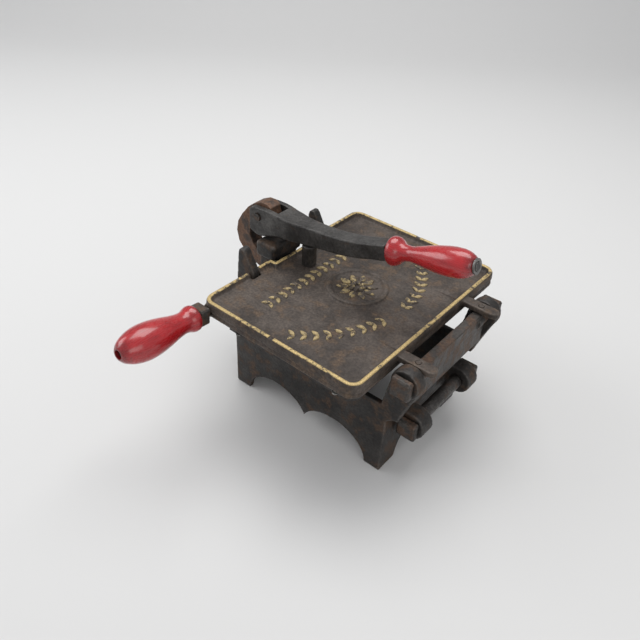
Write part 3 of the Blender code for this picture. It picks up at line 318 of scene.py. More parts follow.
neck_iron = iron_finish("neck_iron", (0.032, 0.023, 0.019), (0.085, 0.056, 0.043), (0.14, 0.075, 0.045),
                        (0.24, 0.19, 0.16), 0.40, 0.6, 0.58, 0.3)
for piece_name, node in (("swan_neck", "standard"), ("neck_bolt_1", "standard_bolt_1"),
                         ("neck_bolt_2", "standard_bolt_2")):
    forged = worn_casting(piece_name, node, 0.0005, rounds=3, dents=0.00022, grain=110.0)
    dress(forged, neck_iron, "stand")


# --- The lid ---
# A shallow cast tray with a deep rim, a round bead along its edge, two tongues and a raised medal.
# Brown japan over the iron, mottled all over and rubbed at the edges.

lid_low, lid_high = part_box("lid_plate")
lid_middle = (lid_low.y + lid_high.y) / 2
lid_left = lid_low.x
lid_length = 0.190
tray_drop = 0.0048
medal_from_edge = 0.097
lid_right = lid_left + lid_length
lid_half = (lid_high.y - lid_low.y) / 2
bead_top = lid_high.z
tray_top = bead_top - tray_drop
medal_x = lid_left + medal_from_edge

lid_iron = iron_finish("lid_iron", (0.040, 0.031, 0.0255), (0.092, 0.073, 0.060), (0.115, 0.078, 0.052),
                       (0.22, 0.185, 0.15), 0.24, 0.55, 0.62, 0.2, depth=0.0005)
lid = worn_casting("lid_casting", "lid_plate", 0.00085, keep=0.42, rounds=2, dents=0.00022, grain=70.0)
dress(lid, lid_iron, "lid")

# The tongues run in over the tray as low ribs, cast with the lid and fading out before its middle.

def low_pad(name, left, right, near, far, rise):
    bm = bmesh.new()
    columns = 24
    rows = 8
    grid = []
    for column in range(columns + 1):
        share = column / columns
        fade = min(1.0, share * 3.0)
        line = []
        for row in range(rows + 1):
            across = row / rows
            crown = math.sin(math.pi * across) ** 0.35 if 0 < row < rows else 0.0
            height = tray_top - 0.0004 + (rise + 0.0004) * fade * crown
            line.append(bm.verts.new((left + (right - left) * share, near + (far - near) * across, height)))
        grid.append(line)
    for here, after in zip(grid, grid[1:]):
        for row in range(rows):
            bm.faces.new((here[row], after[row], after[row + 1], here[row + 1]))
    under = bmesh.ops.extrude_face_region(bm, geom=list(bm.faces))
    lower = [part for part in under["geom"] if isinstance(part, bmesh.types.BMVert)]
    for point in lower:
        point.co.z = tray_top - 0.0010
    bmesh.ops.recalc_face_normals(bm, faces=bm.faces)
    data = bpy.data.meshes.new(name)
    bm.to_mesh(data)
    bm.free()
    data.shade_smooth()
    pad = bpy.data.objects.new(name, data)
    bpy.context.scene.collection.objects.link(pad)
    return pad


far_pad = low_pad("tongue_pad_far", lid_right - 0.036, lid_right - 0.0055, lid_middle + 0.0512,
                  lid_middle + 0.0628, 0.0013)
dress(far_pad, lid_iron, "lid")
near_pad = low_pad("tongue_pad_near", lid_right - 0.034, lid_right - 0.0055, lid_middle - 0.0545,
                   lid_middle - 0.0520, 0.0008)
dress(near_pad, lid_iron, "lid")


# --- The gilding on the lid's bead ---
# A line of gold paint brushed along the top of the bead, stopped at the horn notches.
# It has rubbed through to the iron in many places, and a small file nick breaks it at the front and back.

gilt_wear = bpy.data.node_groups.new("gilt_wear", "ShaderNodeTree")
for name, kind, value in (
    ("Gold", "NodeSocketColor", (0.45, 0.32, 0.12, 1)),
    ("Ground", "NodeSocketColor", (0.05, 0.04, 0.03, 1)),
    ("Worn", "NodeSocketFloat", 0.4),
):
    socket = gilt_wear.interface.new_socket(name, in_out="INPUT", socket_type=kind)
    socket.default_value = value
give_skin_outputs(gilt_wear)
given = shader_node(gilt_wear, "NodeGroupInput", (-900, 0))
result = shader_node(gilt_wear, "NodeGroupOutput", (700, 0))
spot = shader_node(gilt_wear, "ShaderNodeTexCoord", (-900, 400)).outputs["Object"]
flakes = noise_at(gilt_wear, spot, 210.0, 6.0, (-700, 400), 0.68)
drift = noise_at(gilt_wear, spot, 38.0, 3.0, (-700, 150))
dirt = noise_at(gilt_wear, spot, 900.0, 3.0, (-700, -100))
amount = combine(gilt_wear, "ADD", combine(gilt_wear, "MULTIPLY", flakes, 0.6, (-500, 400)),
                 combine(gilt_wear, "MULTIPLY", drift, 0.4, (-500, 200)), (-300, 350))
amount = combine(gilt_wear, "SUBTRACT", amount, given.outputs["Worn"], (-150, 350))
gone = stretch_range(gilt_wear, amount, -0.03, 0.05, 1, 0, (0, 350))
shade = stretch_range(gilt_wear, dirt, 0.3, 0.7, 0.62, 1.22, (-450, -100))
shade_colour = shader_node(gilt_wear, "ShaderNodeCombineColor", (-250, -100))
for socket in shade_colour.inputs:
    gilt_wear.links.new(shade, socket)
gold = shader_node(gilt_wear, "ShaderNodeMix", (0, 50), data_type="RGBA", blend_type="MULTIPLY")
gold.inputs[0].default_value = 1.0
gilt_wear.links.new(given.outputs["Gold"], gold.inputs[6])
gilt_wear.links.new(shade_colour.outputs[0], gold.inputs[7])
paint = blend_colours(gilt_wear, gone, gold.outputs[2], given.outputs["Ground"], (250, 200))
gilt_wear.links.new(paint, result.inputs["Color"])
gilt_gloss = stretch_range(gilt_wear, dirt, 0.2, 0.8, 0.38, 0.62, (250, -100))
gilt_wear.links.new(gilt_gloss, result.inputs["Roughness"])
film = combine(gilt_wear, "SUBTRACT", combine(gilt_wear, "MULTIPLY", dirt, 0.6, (0, -300)),
               combine(gilt_wear, "MULTIPLY", gone, 0.8, (0, -450)), (250, -350))
gilt_wear.links.new(film, result.inputs["Height"])


def gilt_finish(name, gold_colour, ground, worn, metallic):
    finish = bpy.data.materials.new(name)
    finish.use_nodes = True
    tree = finish.node_tree
    shader = tree.nodes["Principled BSDF"]
    shader.inputs["Metallic"].default_value = metallic
    film_node = shader_node(tree, "ShaderNodeGroup", (-400, 100), node_tree=gilt_wear)
    film_node.inputs["Gold"].default_value = (*gold_colour, 1)
    film_node.inputs["Ground"].default_value = (*ground, 1)
    film_node.inputs["Worn"].default_value = worn
    feed_shader(tree, film_node, shader, 0.6, 0.0003)
    return finish


bead_gilt = gilt_finish("bead_gilt", (0.52, 0.385, 0.17), (0.07, 0.055, 0.042), 0.44, 0.35)


def geometry_tree(name, sockets):
    tree = bpy.data.node_groups.new(name, "GeometryNodeTree")
    tree.interface.new_socket("Geometry", in_out="INPUT", socket_type="NodeSocketGeometry")
    for label, kind, value in sockets:
        made = tree.interface.new_socket(label, in_out="INPUT", socket_type=kind)
        if value is not None:
            made.default_value = value
    tree.interface.new_socket("Geometry", in_out="OUTPUT", socket_type="NodeSocketGeometry")
    return tree


def baked_from_tree(name, curve, tree, values):
    """Runs a tree on a curve or mesh and returns what it makes as a plain piece."""
    holder = bpy.data.objects.new(name + "_line", curve)
    bpy.context.scene.collection.objects.link(holder)
    step = holder.modifiers.new("tree", "NODES")
    step.node_group = tree
    for item in tree.interface.items_tree:
        if item.in_out == "INPUT" and item.name in values:
            step[item.identifier] = values[item.name]
    bpy.context.view_layer.update()
    evaluated = holder.evaluated_get(bpy.context.evaluated_depsgraph_get())
    made = bpy.data.meshes.new_from_object(evaluated)
    made.name = name
    bpy.data.objects.remove(holder, do_unlink=True)
    piece = bpy.data.objects.new(name, made)
    bpy.context.scene.collection.objects.link(piece)
    return piece


def line_curve(name, lines):
    curve = bpy.data.curves.new(name, "CURVE")
    curve.dimensions = "3D"
    for points, closed in lines:
        spline = curve.splines.new("POLY")
        spline.points.add(len(points) - 1)
        for point, place in zip(spline.points, points):
            point.co = (*place, 1.0)
        spline.use_cyclic_u = closed
    return curve


def corner(middle_x, middle_y, radius, first, last):
    turns = [math.radians(first + (last - first) * step / 10) for step in range(11)]
    return [(middle_x + radius * math.cos(turn), middle_y + radius * math.sin(turn)) for turn in turns]


bead_stripe = geometry_tree("bead_stripe", (
    ("Half Width", "NodeSocketFloat", 0.0019),
    ("Half Height", "NodeSocketFloat", 0.0009),
    ("Finish", "NodeSocketMaterial", None),
))
given = shader_node(bead_stripe, "NodeGroupInput", (-900, 0))
result = shader_node(bead_stripe, "NodeGroupOutput", (700, 0))
even = shader_node(bead_stripe, "GeometryNodeResampleCurve", (-600, 200), mode="LENGTH")
even.inputs["Length"].default_value = 0.0015
upright = shader_node(bead_stripe, "GeometryNodeSetCurveNormal", (-400, 200), mode="Z_UP")
ring = shader_node(bead_stripe, "GeometryNodeCurvePrimitiveCircle", (-600, -150))
ring.inputs["Resolution"].default_value = 16
ring.inputs["Radius"].default_value = 1.0
flat = shader_node(bead_stripe, "ShaderNodeCombineXYZ", (-600, -350))
flat.inputs[2].default_value = 1.0
shaped = shader_node(bead_stripe, "GeometryNodeTransform", (-350, -150))
swept = shader_node(bead_stripe, "GeometryNodeCurveToMesh", (-150, 100))
swept.inputs["Fill Caps"].default_value = True
rounded = shader_node(bead_stripe, "GeometryNodeSetShadeSmooth", (50, 100))
painted = shader_node(bead_stripe, "GeometryNodeSetMaterial", (400, 100))
settled = shader_node(bead_stripe, "GeometryNodeRealizeInstances", (230, 100))
bead_stripe.links.new(given.outputs["Geometry"], even.inputs["Curve"])
bead_stripe.links.new(even.outputs[0], upright.inputs["Curve"])
bead_stripe.links.new(given.outputs["Half Width"], flat.inputs[0])
bead_stripe.links.new(given.outputs["Half Height"], flat.inputs[1])
bead_stripe.links.new(flat.outputs[0], shaped.inputs["Scale"])
bead_stripe.links.new(ring.outputs["Curve"], shaped.inputs["Geometry"])
bead_stripe.links.new(upright.outputs[0], swept.inputs["Curve"])
bead_stripe.links.new(shaped.outputs[0], swept.inputs["Profile Curve"])
bead_stripe.links.new(swept.outputs[0], rounded.inputs[0])
bead_stripe.links.new(rounded.outputs[0], settled.inputs[0])
bead_stripe.links.new(settled.outputs[0], painted.inputs["Geometry"])
bead_stripe.links.new(given.outputs["Finish"], painted.inputs["Material"])
bead_stripe.links.new(painted.outputs[0], result.inputs[0])

inset = 0.0031
stripe_z = bead_top - 0.00078
near_y = lid_middle - lid_half + inset
far_y = lid_middle + lid_half - inset
left_x = lid_left + inset
right_x = lid_right - inset
bend = 0.013 - inset
nick_x = lid_left + 0.0915
notch_half = 0.026 + inset
notch_x = lid_left + 0.0075 + inset
horn = 0.0555
gap = 0.0085


def at_bead(points):
    return [(across, along, stripe_z) for across, along in points]


near_run = [(left_x, lid_middle - horn - gap)] + corner(left_x + bend, near_y + bend, bend, 180, 270)
near_run.append((nick_x - 0.0028, near_y))
front_run = [(nick_x + 0.0028, near_y)] + corner(right_x - bend, near_y + bend, bend, 270, 360)
front_run += corner(right_x - bend, far_y - bend, bend, 0, 90)
front_run.append((nick_x + 0.0028, far_y))
far_run = [(nick_x - 0.0028, far_y)] + corner(left_x + bend, far_y - bend, bend, 90, 180)
far_run.append((left_x, lid_middle + horn + gap))
notch_run = [(left_x, lid_middle + horn - gap), (left_x, lid_middle + notch_half)]
notch_run += [(notch_x, lid_middle + notch_half), (notch_x, lid_middle - notch_half)]
notch_run += [(left_x, lid_middle - notch_half), (left_x, lid_middle - horn + gap)]
bead_runs = (near_run, front_run, far_run, notch_run)
stripes = line_curve("bead_line", [(at_bead(run), False) for run in bead_runs])
bead = baked_from_tree("bead_gilding", stripes, bead_stripe,
                       {"Half Width": 0.0019, "Half Height": 0.0009, "Finish": bead_gilt})
dress(bead, bead_gilt, "lid")


# --- The raised ornament on the lid ---
# Rows of small cast leaves picked out in gold: one straight row, and one bowed row in two runs.
# The leaves stand about a millimetre proud, and their gold is worn through in places.

def leaf_mesh(name, length, width, rise):
    """A pointed leaf with a sunk midrib, lying along X with its stem at the origin."""
    bm = bmesh.new()
    rings = []
    for step in range(13):
        share = step / 12
        half = width / 2 * math.sin(math.pi * share ** 0.8) ** 0.8 if 0 < step < 12 else 0.00008
        crown = rise * (math.sin(math.pi * min(1, share * 0.9 + 0.06)) ** 0.5)
        ring_points = []
        for across, up in ((-1.0, -0.6), (-1.0, 0.25), (-0.62, 0.92), (-0.22, 1.0), (0.0, 0.62),
                           (0.22, 1.0), (0.62, 0.92), (1.0, 0.25), (1.0, -0.6)):
            height = crown * up if up > 0 else -0.0007
            ring_points.append(bm.verts.new((share * length, half * across, height)))
        rings.append(ring_points)
    for here, after in zip(rings, rings[1:]):
        for index in range(9):
            following = (index + 1) % 9
            bm.faces.new((here[index], after[index], after[following], here[following]))
    bm.faces.new(rings[0])
    bm.faces.new(rings[-1])
    bmesh.ops.recalc_face_normals(bm, faces=bm.faces)
    data = bpy.data.meshes.new(name)
    bm.to_mesh(data)
    bm.free()
    leaf = bpy.data.objects.new(name, data)
    bpy.context.scene.collection.objects.link(leaf)
    leaf.hide_render = True
    return leaf


leaf_gilt = gilt_finish("leaf_gilt", (0.40, 0.305, 0.15), (0.075, 0.058, 0.045), 0.47, 0.3)
leaf_row = geometry_tree("leaf_row", (
    ("Leaf", "NodeSocketObject", None),
    ("Pitch", "NodeSocketFloat", 0.0125),
    ("Spread", "NodeSocketFloat", 0.9),
    ("Finish", "NodeSocketMaterial", None),
))
given = shader_node(leaf_row, "NodeGroupInput", (-1000, 0))
result = shader_node(leaf_row, "NodeGroupOutput", (900, 0))
spaced = shader_node(leaf_row, "GeometryNodeCurveToPoints", (-750, 200), mode="LENGTH")
leaf_in = shader_node(leaf_row, "GeometryNodeObjectInfo", (-750, -200), transform_space="ORIGINAL")
gather = shader_node(leaf_row, "GeometryNodeJoinGeometry", (300, 100))
leaf_row.links.new(given.outputs["Geometry"], spaced.inputs["Curve"])
leaf_row.links.new(given.outputs["Pitch"], spaced.inputs["Length"])
leaf_row.links.new(given.outputs["Leaf"], leaf_in.inputs["Object"])
heading = shader_node(leaf_row, "FunctionNodeAlignRotationToVector", (-500, -50), axis="X")
heading.pivot_axis = "Z"
leaf_row.links.new(spaced.outputs["Tangent"], heading.inputs["Vector"])
for side in (-1, 1):
    turn = shader_node(leaf_row, "ShaderNodeMath", (-500, -300 - 150 * side), operation="MULTIPLY")
    turn.inputs[1].default_value = side
    leaf_row.links.new(given.outputs["Spread"], turn.inputs[0])
    swing = shader_node(leaf_row, "ShaderNodeCombineXYZ", (-350, -300 - 150 * side))
    leaf_row.links.new(turn.outputs[0], swing.inputs[2])
    aimed = shader_node(leaf_row, "FunctionNodeRotateRotation", (-200, -150 * side), rotation_space="LOCAL")
    leaf_row.links.new(heading.outputs[0], aimed.inputs[0])
    leaf_row.links.new(swing.outputs[0], aimed.inputs[1])
    placed = shader_node(leaf_row, "GeometryNodeInstanceOnPoints", (50, 150 * side))
    leaf_row.links.new(spaced.outputs["Points"], placed.inputs["Points"])
    leaf_row.links.new(leaf_in.outputs["Geometry"], placed.inputs["Instance"])
    leaf_row.links.new(aimed.outputs[0], placed.inputs["Rotation"])
    leaf_row.links.new(placed.outputs[0], gather.inputs[0])
settled = shader_node(leaf_row, "GeometryNodeRealizeInstances", (480, 100))
rounded = shader_node(leaf_row, "GeometryNodeSetShadeSmooth", (600, 100))
painted = shader_node(leaf_row, "GeometryNodeSetMaterial", (750, 100))
leaf_row.links.new(gather.outputs[0], settled.inputs[0])
leaf_row.links.new(settled.outputs[0], rounded.inputs[0])
leaf_row.links.new(rounded.outputs[0], painted.inputs["Geometry"])
leaf_row.links.new(given.outputs["Finish"], painted.inputs["Material"])
leaf_row.links.new(painted.outputs[0], result.inputs[0])

small_leaf = leaf_mesh("small_leaf", 0.0092, 0.0046, 0.0013)
straight_x = lid_left + 0.0500
straight = [(straight_x, lid_middle + 0.037 - 0.116 * step / 20, tray_top) for step in range(21)]
bow_x = medal_x - 0.070
bow_radius = 0.125
bowed_far = []
bowed_near = []
for step in range(21):
    angle = math.radians(2 + 40 * step / 20)
    across = bow_x + bow_radius * math.cos(angle)
    bowed_far.append((across, lid_middle + bow_radius * math.sin(angle), tray_top))
for step in range(21):
    angle = math.radians(-12 - 42 * step / 20)
    across = bow_x + bow_radius * math.cos(angle)
    bowed_near.append((across, lid_middle + bow_radius * math.sin(angle), tray_top))
rows = line_curve("leaf_lines", [(straight, False), (bowed_far, False), (bowed_near, False)])
leaves = baked_from_tree("lid_leaves", rows, leaf_row,
                         {"Leaf": small_leaf, "Pitch": 0.0105, "Spread": 0.85, "Finish": leaf_gilt})
dress(leaves, leaf_gilt, "lid")

# The rosette inside the medal's ring: two rounds of petals in the same gold.

petal = leaf_mesh("petal", 0.0125, 0.0072, 0.0016)
inner_petal = leaf_mesh("inner_petal", 0.0070, 0.0048, 0.0022)


def petal_ring(name, leaf, count, radius, height, offset):
    """Petals spaced round a circle and pointing outwards."""
    circle = bpy.data.meshes.new(name + "_circle")
    turns = [math.tau * (step + offset) / count for step in range(count)]
    corners = [
        (medal_x + radius * math.cos(turn), lid_middle + radius * math.sin(turn), height)
        for turn in turns
    ]
    circle.from_pydata(corners, [], [])
    return baked_from_tree(name, circle, petal_round, {"Leaf": leaf, "Middle": (medal_x, lid_middle, height),
                                                       "Finish": leaf_gilt})


petal_round = geometry_tree("petal_round", (
    ("Leaf", "NodeSocketObject", None),
    ("Middle", "NodeSocketVector", None),
    ("Finish", "NodeSocketMaterial", None),
))
given = shader_node(petal_round, "NodeGroupInput", (-900, 0))
result = shader_node(petal_round, "NodeGroupOutput", (800, 0))
leaf_in = shader_node(petal_round, "GeometryNodeObjectInfo", (-650, -200), transform_space="ORIGINAL")
where = shader_node(petal_round, "GeometryNodeInputPosition", (-650, 0))
outward = shader_node(petal_round, "ShaderNodeVectorMath", (-450, 0), operation="SUBTRACT")
heading = shader_node(petal_round, "FunctionNodeAlignRotationToVector", (-250, 0), axis="X")
heading.pivot_axis = "Z"
placed = shader_node(petal_round, "GeometryNodeInstanceOnPoints", (0, 100))
settled = shader_node(petal_round, "GeometryNodeRealizeInstances", (200, 100))
rounded = shader_node(petal_round, "GeometryNodeSetShadeSmooth", (350, 100))
painted = shader_node(petal_round, "GeometryNodeSetMaterial", (550, 100))
petal_round.links.new(given.outputs["Leaf"], leaf_in.inputs["Object"])
petal_round.links.new(where.outputs[0], outward.inputs[0])
petal_round.links.new(given.outputs["Middle"], outward.inputs[1])
petal_round.links.new(outward.outputs[0], heading.inputs["Vector"])
petal_round.links.new(given.outputs["Geometry"], placed.inputs["Points"])
petal_round.links.new(leaf_in.outputs["Geometry"], placed.inputs["Instance"])
petal_round.links.new(heading.outputs[0], placed.inputs["Rotation"])
petal_round.links.new(placed.outputs[0], settled.inputs[0])
petal_round.links.new(settled.outputs[0], rounded.inputs[0])
petal_round.links.new(rounded.outputs[0], painted.inputs["Geometry"])
petal_round.links.new(given.outputs["Finish"], painted.inputs["Material"])
petal_round.links.new(painted.outputs[0], result.inputs[0])

medal_face = tray_top + 0.0010
for ring_name, leaf, count, radius, offset in (
    ("medal_petals_outer", petal, 10, 0.0090, 0.0),
    ("medal_petals_inner", inner_petal, 8, 0.0028, 0.5),
):
    round_of_petals = petal_ring(ring_name, leaf, count, radius, medal_face, offset)
    dress(round_of_petals, leaf_gilt, "lid")
for pattern in (small_leaf, petal, inner_petal):
    bpy.data.objects.remove(pattern, do_unlink=True)


# --- The press button, hinge bar and rivets ---
# A turned iron post on the lid takes the lever's push; the bar under the tongues turns on the pivot bolts.
# Both are bare iron, and the post is the brighter of the two.

button = worn_casting("press_post", "press_button", 0.0004, rounds=2, dents=0.00010, grain=150.0)
dress(button, roller_iron, "lid")
bar = worn_casting("lid_bar", "hinge_bar", 0.00065, keep=0.7, rounds=3, dents=0.00025, grain=90.0)
dress(bar, bolt_iron, "lid")
refinish(lid_iron, "tongue_rivet_near", "tongue_rivet_far")


# --- The knives ---
# Five ground steel blades clamped between spacers on one bolt, hung from a carrier screwed under the lid.
# They stay out of sight until the lid is lifted.

blade_steel = iron_finish("blade_steel", (0.28, 0.28, 0.275), (0.46, 0.455, 0.445), (0.16, 0.11, 0.08),
                          (0.65, 0.65, 0.64), 0.12, 0.5, 0.28, 0.95, depth=0.00008)
refinish(stand_iron, "knife_carrier", "knife_hanger_near", "knife_hanger_far")
refinish(blade_steel, *(f"knife_{number}" for number in range(1, 6)))
refinish(screw_steel, *(f"knife_spacer_{number}" for number in range(1, 7)))
refinish(screw_steel, "knife_bolt", "knife_nut", *(f"carrier_screw_{number}" for number in range(1, 5)))


# --- The press lever ---
# Forged iron: a round heel and fork on the pin, then an arm that bends up to the grip.
# Dark, and rubbed bright along its edges.

lever_iron = iron_finish("lever_iron", (0.030, 0.028, 0.0265), (0.070, 0.066, 0.062), (0.085, 0.055, 0.04),
                         (0.30, 0.285, 0.265), 0.16, 0.85, 0.44, 0.45)
lever = worn_casting("forged_lever", "press_lever", 0.00055, keep=0.8, rounds=5, dents=0.00030, grain=75.0)
dress(lever, lever_iron, "lever")
refinish(bolt_iron, "lever_pin")
refinish(screw_steel, "lever_washer")


# --- The turned grips ---
# Two turned hardwood grips in red lacquer: a collar, a waist and a swelling end.
# The lacquer is glossy and clouded, and darker with small chips toward both ends.

lacquer_skin = bpy.data.node_groups.new("lacquer_skin", "ShaderNodeTree")
for name, kind, value in (
    ("Grain", "NodeSocketVector", (1.0, 1.0, 1.0)),
    ("Bright", "NodeSocketColor", (0.42, 0.012, 0.016, 1)),
    ("Dark", "NodeSocketColor", (0.12, 0.006, 0.008, 1)),
):
    socket = lacquer_skin.interface.new_socket(name, in_out="INPUT", socket_type=kind)
    socket.default_value = value
give_skin_outputs(lacquer_skin)
given = shader_node(lacquer_skin, "NodeGroupInput", (-1100, 0))
result = shader_node(lacquer_skin, "NodeGroupOutput", (800, 0))
spot = shader_node(lacquer_skin, "ShaderNodeTexCoord", (-1100, 400)).outputs["Object"]
along = shader_node(lacquer_skin, "ShaderNodeVectorMath", (-900, 250), operation="MULTIPLY")
lacquer_skin.links.new(spot, along.inputs[0])
lacquer_skin.links.new(given.outputs["Grain"], along.inputs[1])
clouding = noise_at(lacquer_skin, spot, 60.0, 4.0, (-650, 400))
pores = noise_at(lacquer_skin, along.outputs[0], 900.0, 4.0, (-650, 150), 0.6)
strokes = noise_at(lacquer_skin, along.outputs[0], 260.0, 3.0, (-650, -100))
chips = noise_at(lacquer_skin, spot, 190.0, 5.0, (-650, -350), 0.7)
cloud_share = stretch_range(lacquer_skin, clouding, 0.35, 0.7, 0.0, 0.30, (-400, 400))
stroke_share = stretch_range(lacquer_skin, strokes, 0.42, 0.75, 0.0, 0.35, (-400, 150))
depth_mask = combine(lacquer_skin, "ADD", cloud_share, stroke_share, (-200, 300))
ends = shader_node(lacquer_skin, "ShaderNodeAttribute", (-650, -600), attribute_name="ends")
end_share = combine(lacquer_skin, "MULTIPLY", ends.outputs["Fac"], 0.55, (-200, -500))
depth_mask = combine(lacquer_skin, "ADD", depth_mask, end_share, (0, 300))
end_chips = combine(lacquer_skin, "MULTIPLY", ends.outputs["Fac"], 0.10, (-200, -650))
chip_edge = combine(lacquer_skin, "ADD", chips, end_chips, (-50, -400))
chip_mask = stretch_range(lacquer_skin, chip_edge, 0.70, 0.735, 0, 0.8, (100, -350))
red = blend_colours(lacquer_skin, depth_mask, given.outputs["Bright"], given.outputs["Dark"], (200, 250))
bare = shader_node(lacquer_skin, "ShaderNodeRGB", (200, 0))
bare.outputs[0].default_value = (0.030, 0.012, 0.010, 1)
red = blend_colours(lacquer_skin, chip_mask, red, bare.outputs[0], (400, 200))
lacquer_skin.links.new(red, result.inputs["Color"])
gloss = combine(lacquer_skin, "ADD", stretch_range(lacquer_skin, pores, 0.3, 0.7, 0.20, 0.36, (300, -150)),
                combine(lacquer_skin, "MULTIPLY", chip_mask, 0.3, (300, -300)), (500, -200))
lacquer_skin.links.new(gloss, result.inputs["Roughness"])
swell = combine(lacquer_skin, "ADD", combine(lacquer_skin, "MULTIPLY", strokes, 0.8, (300, -450)),
                combine(lacquer_skin, "MULTIPLY", pores, 0.25, (300, -600)), (500, -450))
chip_sink = combine(lacquer_skin, "MULTIPLY", chip_mask, 0.6, (500, -600))
swell = combine(lacquer_skin, "SUBTRACT", swell, chip_sink, (650, -450))
lacquer_skin.links.new(swell, result.inputs["Height"])


def lacquer_finish(name, grain):
    finish = bpy.data.materials.new(name)
    finish.use_nodes = True
    tree = finish.node_tree
    shader = tree.nodes["Principled BSDF"]
    shader.inputs["Metallic"].default_value = 0.0
    shader.inputs["Coat Weight"].default_value = 0.55
    shader.inputs["Coat Roughness"].default_value = 0.10
    skin = shader_node(tree, "ShaderNodeGroup", (-400, 100), node_tree=lacquer_skin)
    skin.inputs["Grain"].default_value = grain
    feed_shader(tree, skin, shader, 0.45, 0.0006)
    return finish


def turned_grip(name, node, start, heading, length, bore, knots):
    """A grip turned to the knots (share of the length, radius), with a bore through its middle."""
    shares = np.array([knot[0] for knot in knots])
    radii = np.array([knot[1] for knot in knots])
    slopes = np.gradient(radii, shares)
    section = [(bore, 0.0, 1.0)]
    end_reach = 12
    steps = np.unique(np.concatenate([shares, np.linspace(0, 1, 90)]))
    for share in steps:
        index = min(int(np.searchsorted(shares, share, side="right")) - 1, len(shares) - 2)
        span = shares[index + 1] - shares[index]
        t = (share - shares[index]) / span
        radius = (2 * t ** 3 - 3 * t ** 2 + 1) * radii[index]
        radius += (t ** 3 - 2 * t ** 2 + t) * span * slopes[index]
        radius += (3 * t ** 2 - 2 * t ** 3) * radii[index + 1]
        radius += (t ** 3 - t ** 2) * span * slopes[index + 1]
        end_shade = max(0.0, 1 - share * end_reach) + max(0.0, 1 - (1 - share) * end_reach)
        section.append((radius, share * length, end_shade))
    section.append((bore, length, 1.0))
    toward = Vector(heading).normalized()
    turn = toward.to_track_quat("Z", "Y").to_matrix().to_4x4()
    place = Matrix.Translation(Vector(start)) @ turn
    around = 96
    bm = bmesh.new()
    mark = bm.verts.layers.float.new("ends")
    rings = []
    for radius, far, shade_here in section:
        ring_points = []
        for step in range(around):
            angle = math.tau * step / around
            point = bm.verts.new(place @ Vector((radius * math.cos(angle), radius * math.sin(angle), far)))
            point[mark] = shade_here
            ring_points.append(point)
        rings.append(ring_points)
    for index, here in enumerate(rings):
        after = rings[(index + 1) % len(rings)]
        for step in range(around):
            following = (step + 1) % around
            bm.faces.new((here[step], here[following], after[following], after[step]))
    bmesh.ops.recalc_face_normals(bm, faces=bm.faces)
    data = bpy.data.meshes.new(name)
    bm.to_mesh(data)
    bm.free()
    data.shade_smooth()
    data.set_sharp_from_angle(angle=math.radians(50))
    grip = bpy.data.objects.new(name, data)
    bpy.context.scene.collection.objects.link(grip)
    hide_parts(node)
    return grip


lever_middle = (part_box("lever_pin")[0].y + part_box("lever_pin")[1].y) / 2
lever_grip_length = 0.0890
lever_grip_bore = 0.0048
lever_rise = math.radians(13.8)
lever_heading = (math.cos(lever_rise), 0.0, math.sin(lever_rise))
lever_grip_start = Vector((0.0510, lever_middle, 0.2020)) + Vector(lever_heading) * 0.0003
lever_knots = [(0.0, 0.0105), (0.02, 0.0132), (0.06, 0.0142), (0.11, 0.0128), (0.16, 0.0092), (0.24, 0.0074),
               (0.36, 0.0088), (0.50, 0.0114), (0.64, 0.0132), (0.78, 0.0138), (0.88, 0.0128), (0.95, 0.0104),
               (0.985, 0.0082), (1.0, 0.0064)]
lever_red = lacquer_finish("lever_red", (0.12, 1.0, 1.0))
lever_grip = turned_grip("lever_handle", "lever_grip", lever_grip_start, lever_heading,
                         lever_grip_length, lever_grip_bore, lever_knots)
dress(lever_grip, lever_red, "lever")

side_grip_length = 0.0880
side_grip_bore = 0.0046
side_rise = math.radians(5.2)
side_heading = (0.0, -math.cos(side_rise), math.sin(side_rise))
side_start = Vector((lid_left + 0.0090, lid_middle - lid_half, 0.1364)) + Vector(side_heading) * 0.0156
side_knots = [(0.0, 0.0100), (0.015, 0.0122), (0.05, 0.0132), (0.09, 0.0126), (0.13, 0.0112), (0.19, 0.0106),
              (0.30, 0.0120), (0.44, 0.0148), (0.58, 0.0168), (0.70, 0.0172), (0.82, 0.0156), (0.92, 0.0122),
              (0.97, 0.0092), (1.0, 0.0060)]
side_red = lacquer_finish("side_red", (1.0, 0.12, 1.0))
side_grip = turned_grip("corner_handle", "side_grip", side_start, side_heading,
                        side_grip_length, side_grip_bore, side_knots)
dress(side_grip, side_red, "side_grip")
ferrule = worn_casting("corner_block", "side_block", 0.0004, rounds=3, dents=0.00015, grain=150.0)
dress(ferrule, bolt_iron, "lid")
refinish(bolt_iron, "side_rod")


# --- The room ---
# A pale floor that turns up into a plain backdrop, lit by large soft lamps from above and both sides.
# The camera looks down from the hinge end's near corner toward the lever end.

room = bpy.data.meshes.new("room")
floor_end = 1.3
cove = 0.8
depth_line = [(-3.2, 0.0), (floor_end, 0.0)]
for angle in range(9, 91, 9):
    lift = math.radians(angle)
    depth_line.append((floor_end + cove * math.sin(lift), cove - cove * math.cos(lift)))
depth_line.append((floor_end + cove, 3.4))
facing = math.radians(37.8)
ahead = Vector((-math.sin(facing), math.cos(facing), 0.0))
aside = Vector((math.cos(facing), math.sin(facing), 0.0))
corners = []
for away, up in depth_line:
    for side in (-3.5, 3.5):
        corners.append(tuple(ahead * away + aside * side + Vector((0, 0, up))))
faces = [(2 * i, 2 * i + 1, 2 * i + 3, 2 * i + 2) for i in range(len(depth_line) - 1)]
room.from_pydata(corners, [], faces)
room.shade_smooth()
paper = bpy.data.materials.new("room_paper")
paper.use_nodes = True
paper.node_tree.nodes["Principled BSDF"].inputs["Base Color"].default_value = (0.66, 0.655, 0.645, 1)
paper.node_tree.nodes["Principled BSDF"].inputs["Roughness"].default_value = 0.85
room.materials.append(paper)
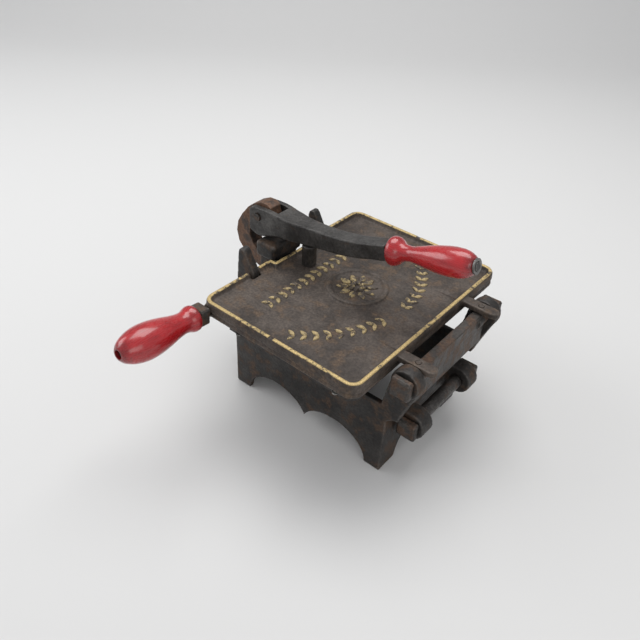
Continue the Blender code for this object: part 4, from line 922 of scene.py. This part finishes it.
room_object = bpy.data.objects.new("room", room)
bpy.context.scene.collection.objects.link(room_object)


def soft_lamp(name, place, target, size, power, tint=(1, 1, 1)):
    lamp = bpy.data.lights.new(name, "AREA")
    lamp.shape = "RECTANGLE"
    lamp.size, lamp.size_y = size
    lamp.energy = power
    lamp.color = tint
    holder = bpy.data.objects.new(name, lamp)
    place = Vector(place)
    aim = (place - Vector(target)).to_track_quat("Z", "Y").to_matrix().to_4x4()
    holder.matrix_world = Matrix.Translation(place) @ aim
    bpy.context.scene.collection.objects.link(holder)


middle = (0.02, 0.05, 0.10)
soft_lamp("overhead", (-0.25, 0.45, 1.55), middle, (1.3, 1.0), 17.0)
soft_lamp("window", (-1.45, -0.75, 1.05), middle, (1.2, 0.9), 11.0, (0.97, 0.985, 1.0))
soft_lamp("fill", (1.35, -0.6, 0.8), middle, (1.0, 0.8), 4.5, (1.0, 0.985, 0.96))
sky = bpy.data.worlds.new("studio")
sky.use_nodes = True
sky.node_tree.nodes["Background"].inputs["Color"].default_value = (0.95, 0.965, 1.0, 1)
sky.node_tree.nodes["Background"].inputs["Strength"].default_value = 0.55
bpy.context.scene.world = sky

eye = bpy.data.cameras.new("eye")
eye.sensor_width = 36.0
eye.lens = 37.26
eye.clip_start = 0.01
eye_object = bpy.data.objects.new("eye", eye)
turn_about, look_down, lean = math.radians(37.784), math.radians(37.936), math.radians(3.208)
back = Vector((math.sin(turn_about) * math.cos(look_down), -math.cos(turn_about) * math.cos(look_down),
               math.sin(look_down)))
level = Vector((math.cos(turn_about), math.sin(turn_about), 0.0))
over = back.cross(level)
right = level * math.cos(lean) + over * math.sin(lean)
upward = over * math.cos(lean) - level * math.sin(lean)
eye_object.matrix_world = Matrix(((right.x, upward.x, back.x, 0.32928), (right.y, upward.y, back.y, -0.40939),
                                  (right.z, upward.z, back.z, 0.53099), (0, 0, 0, 1)))
bpy.context.scene.collection.objects.link(eye_object)
bpy.context.scene.camera = eye_object
bpy.context.scene.view_settings.view_transform = "Standard"
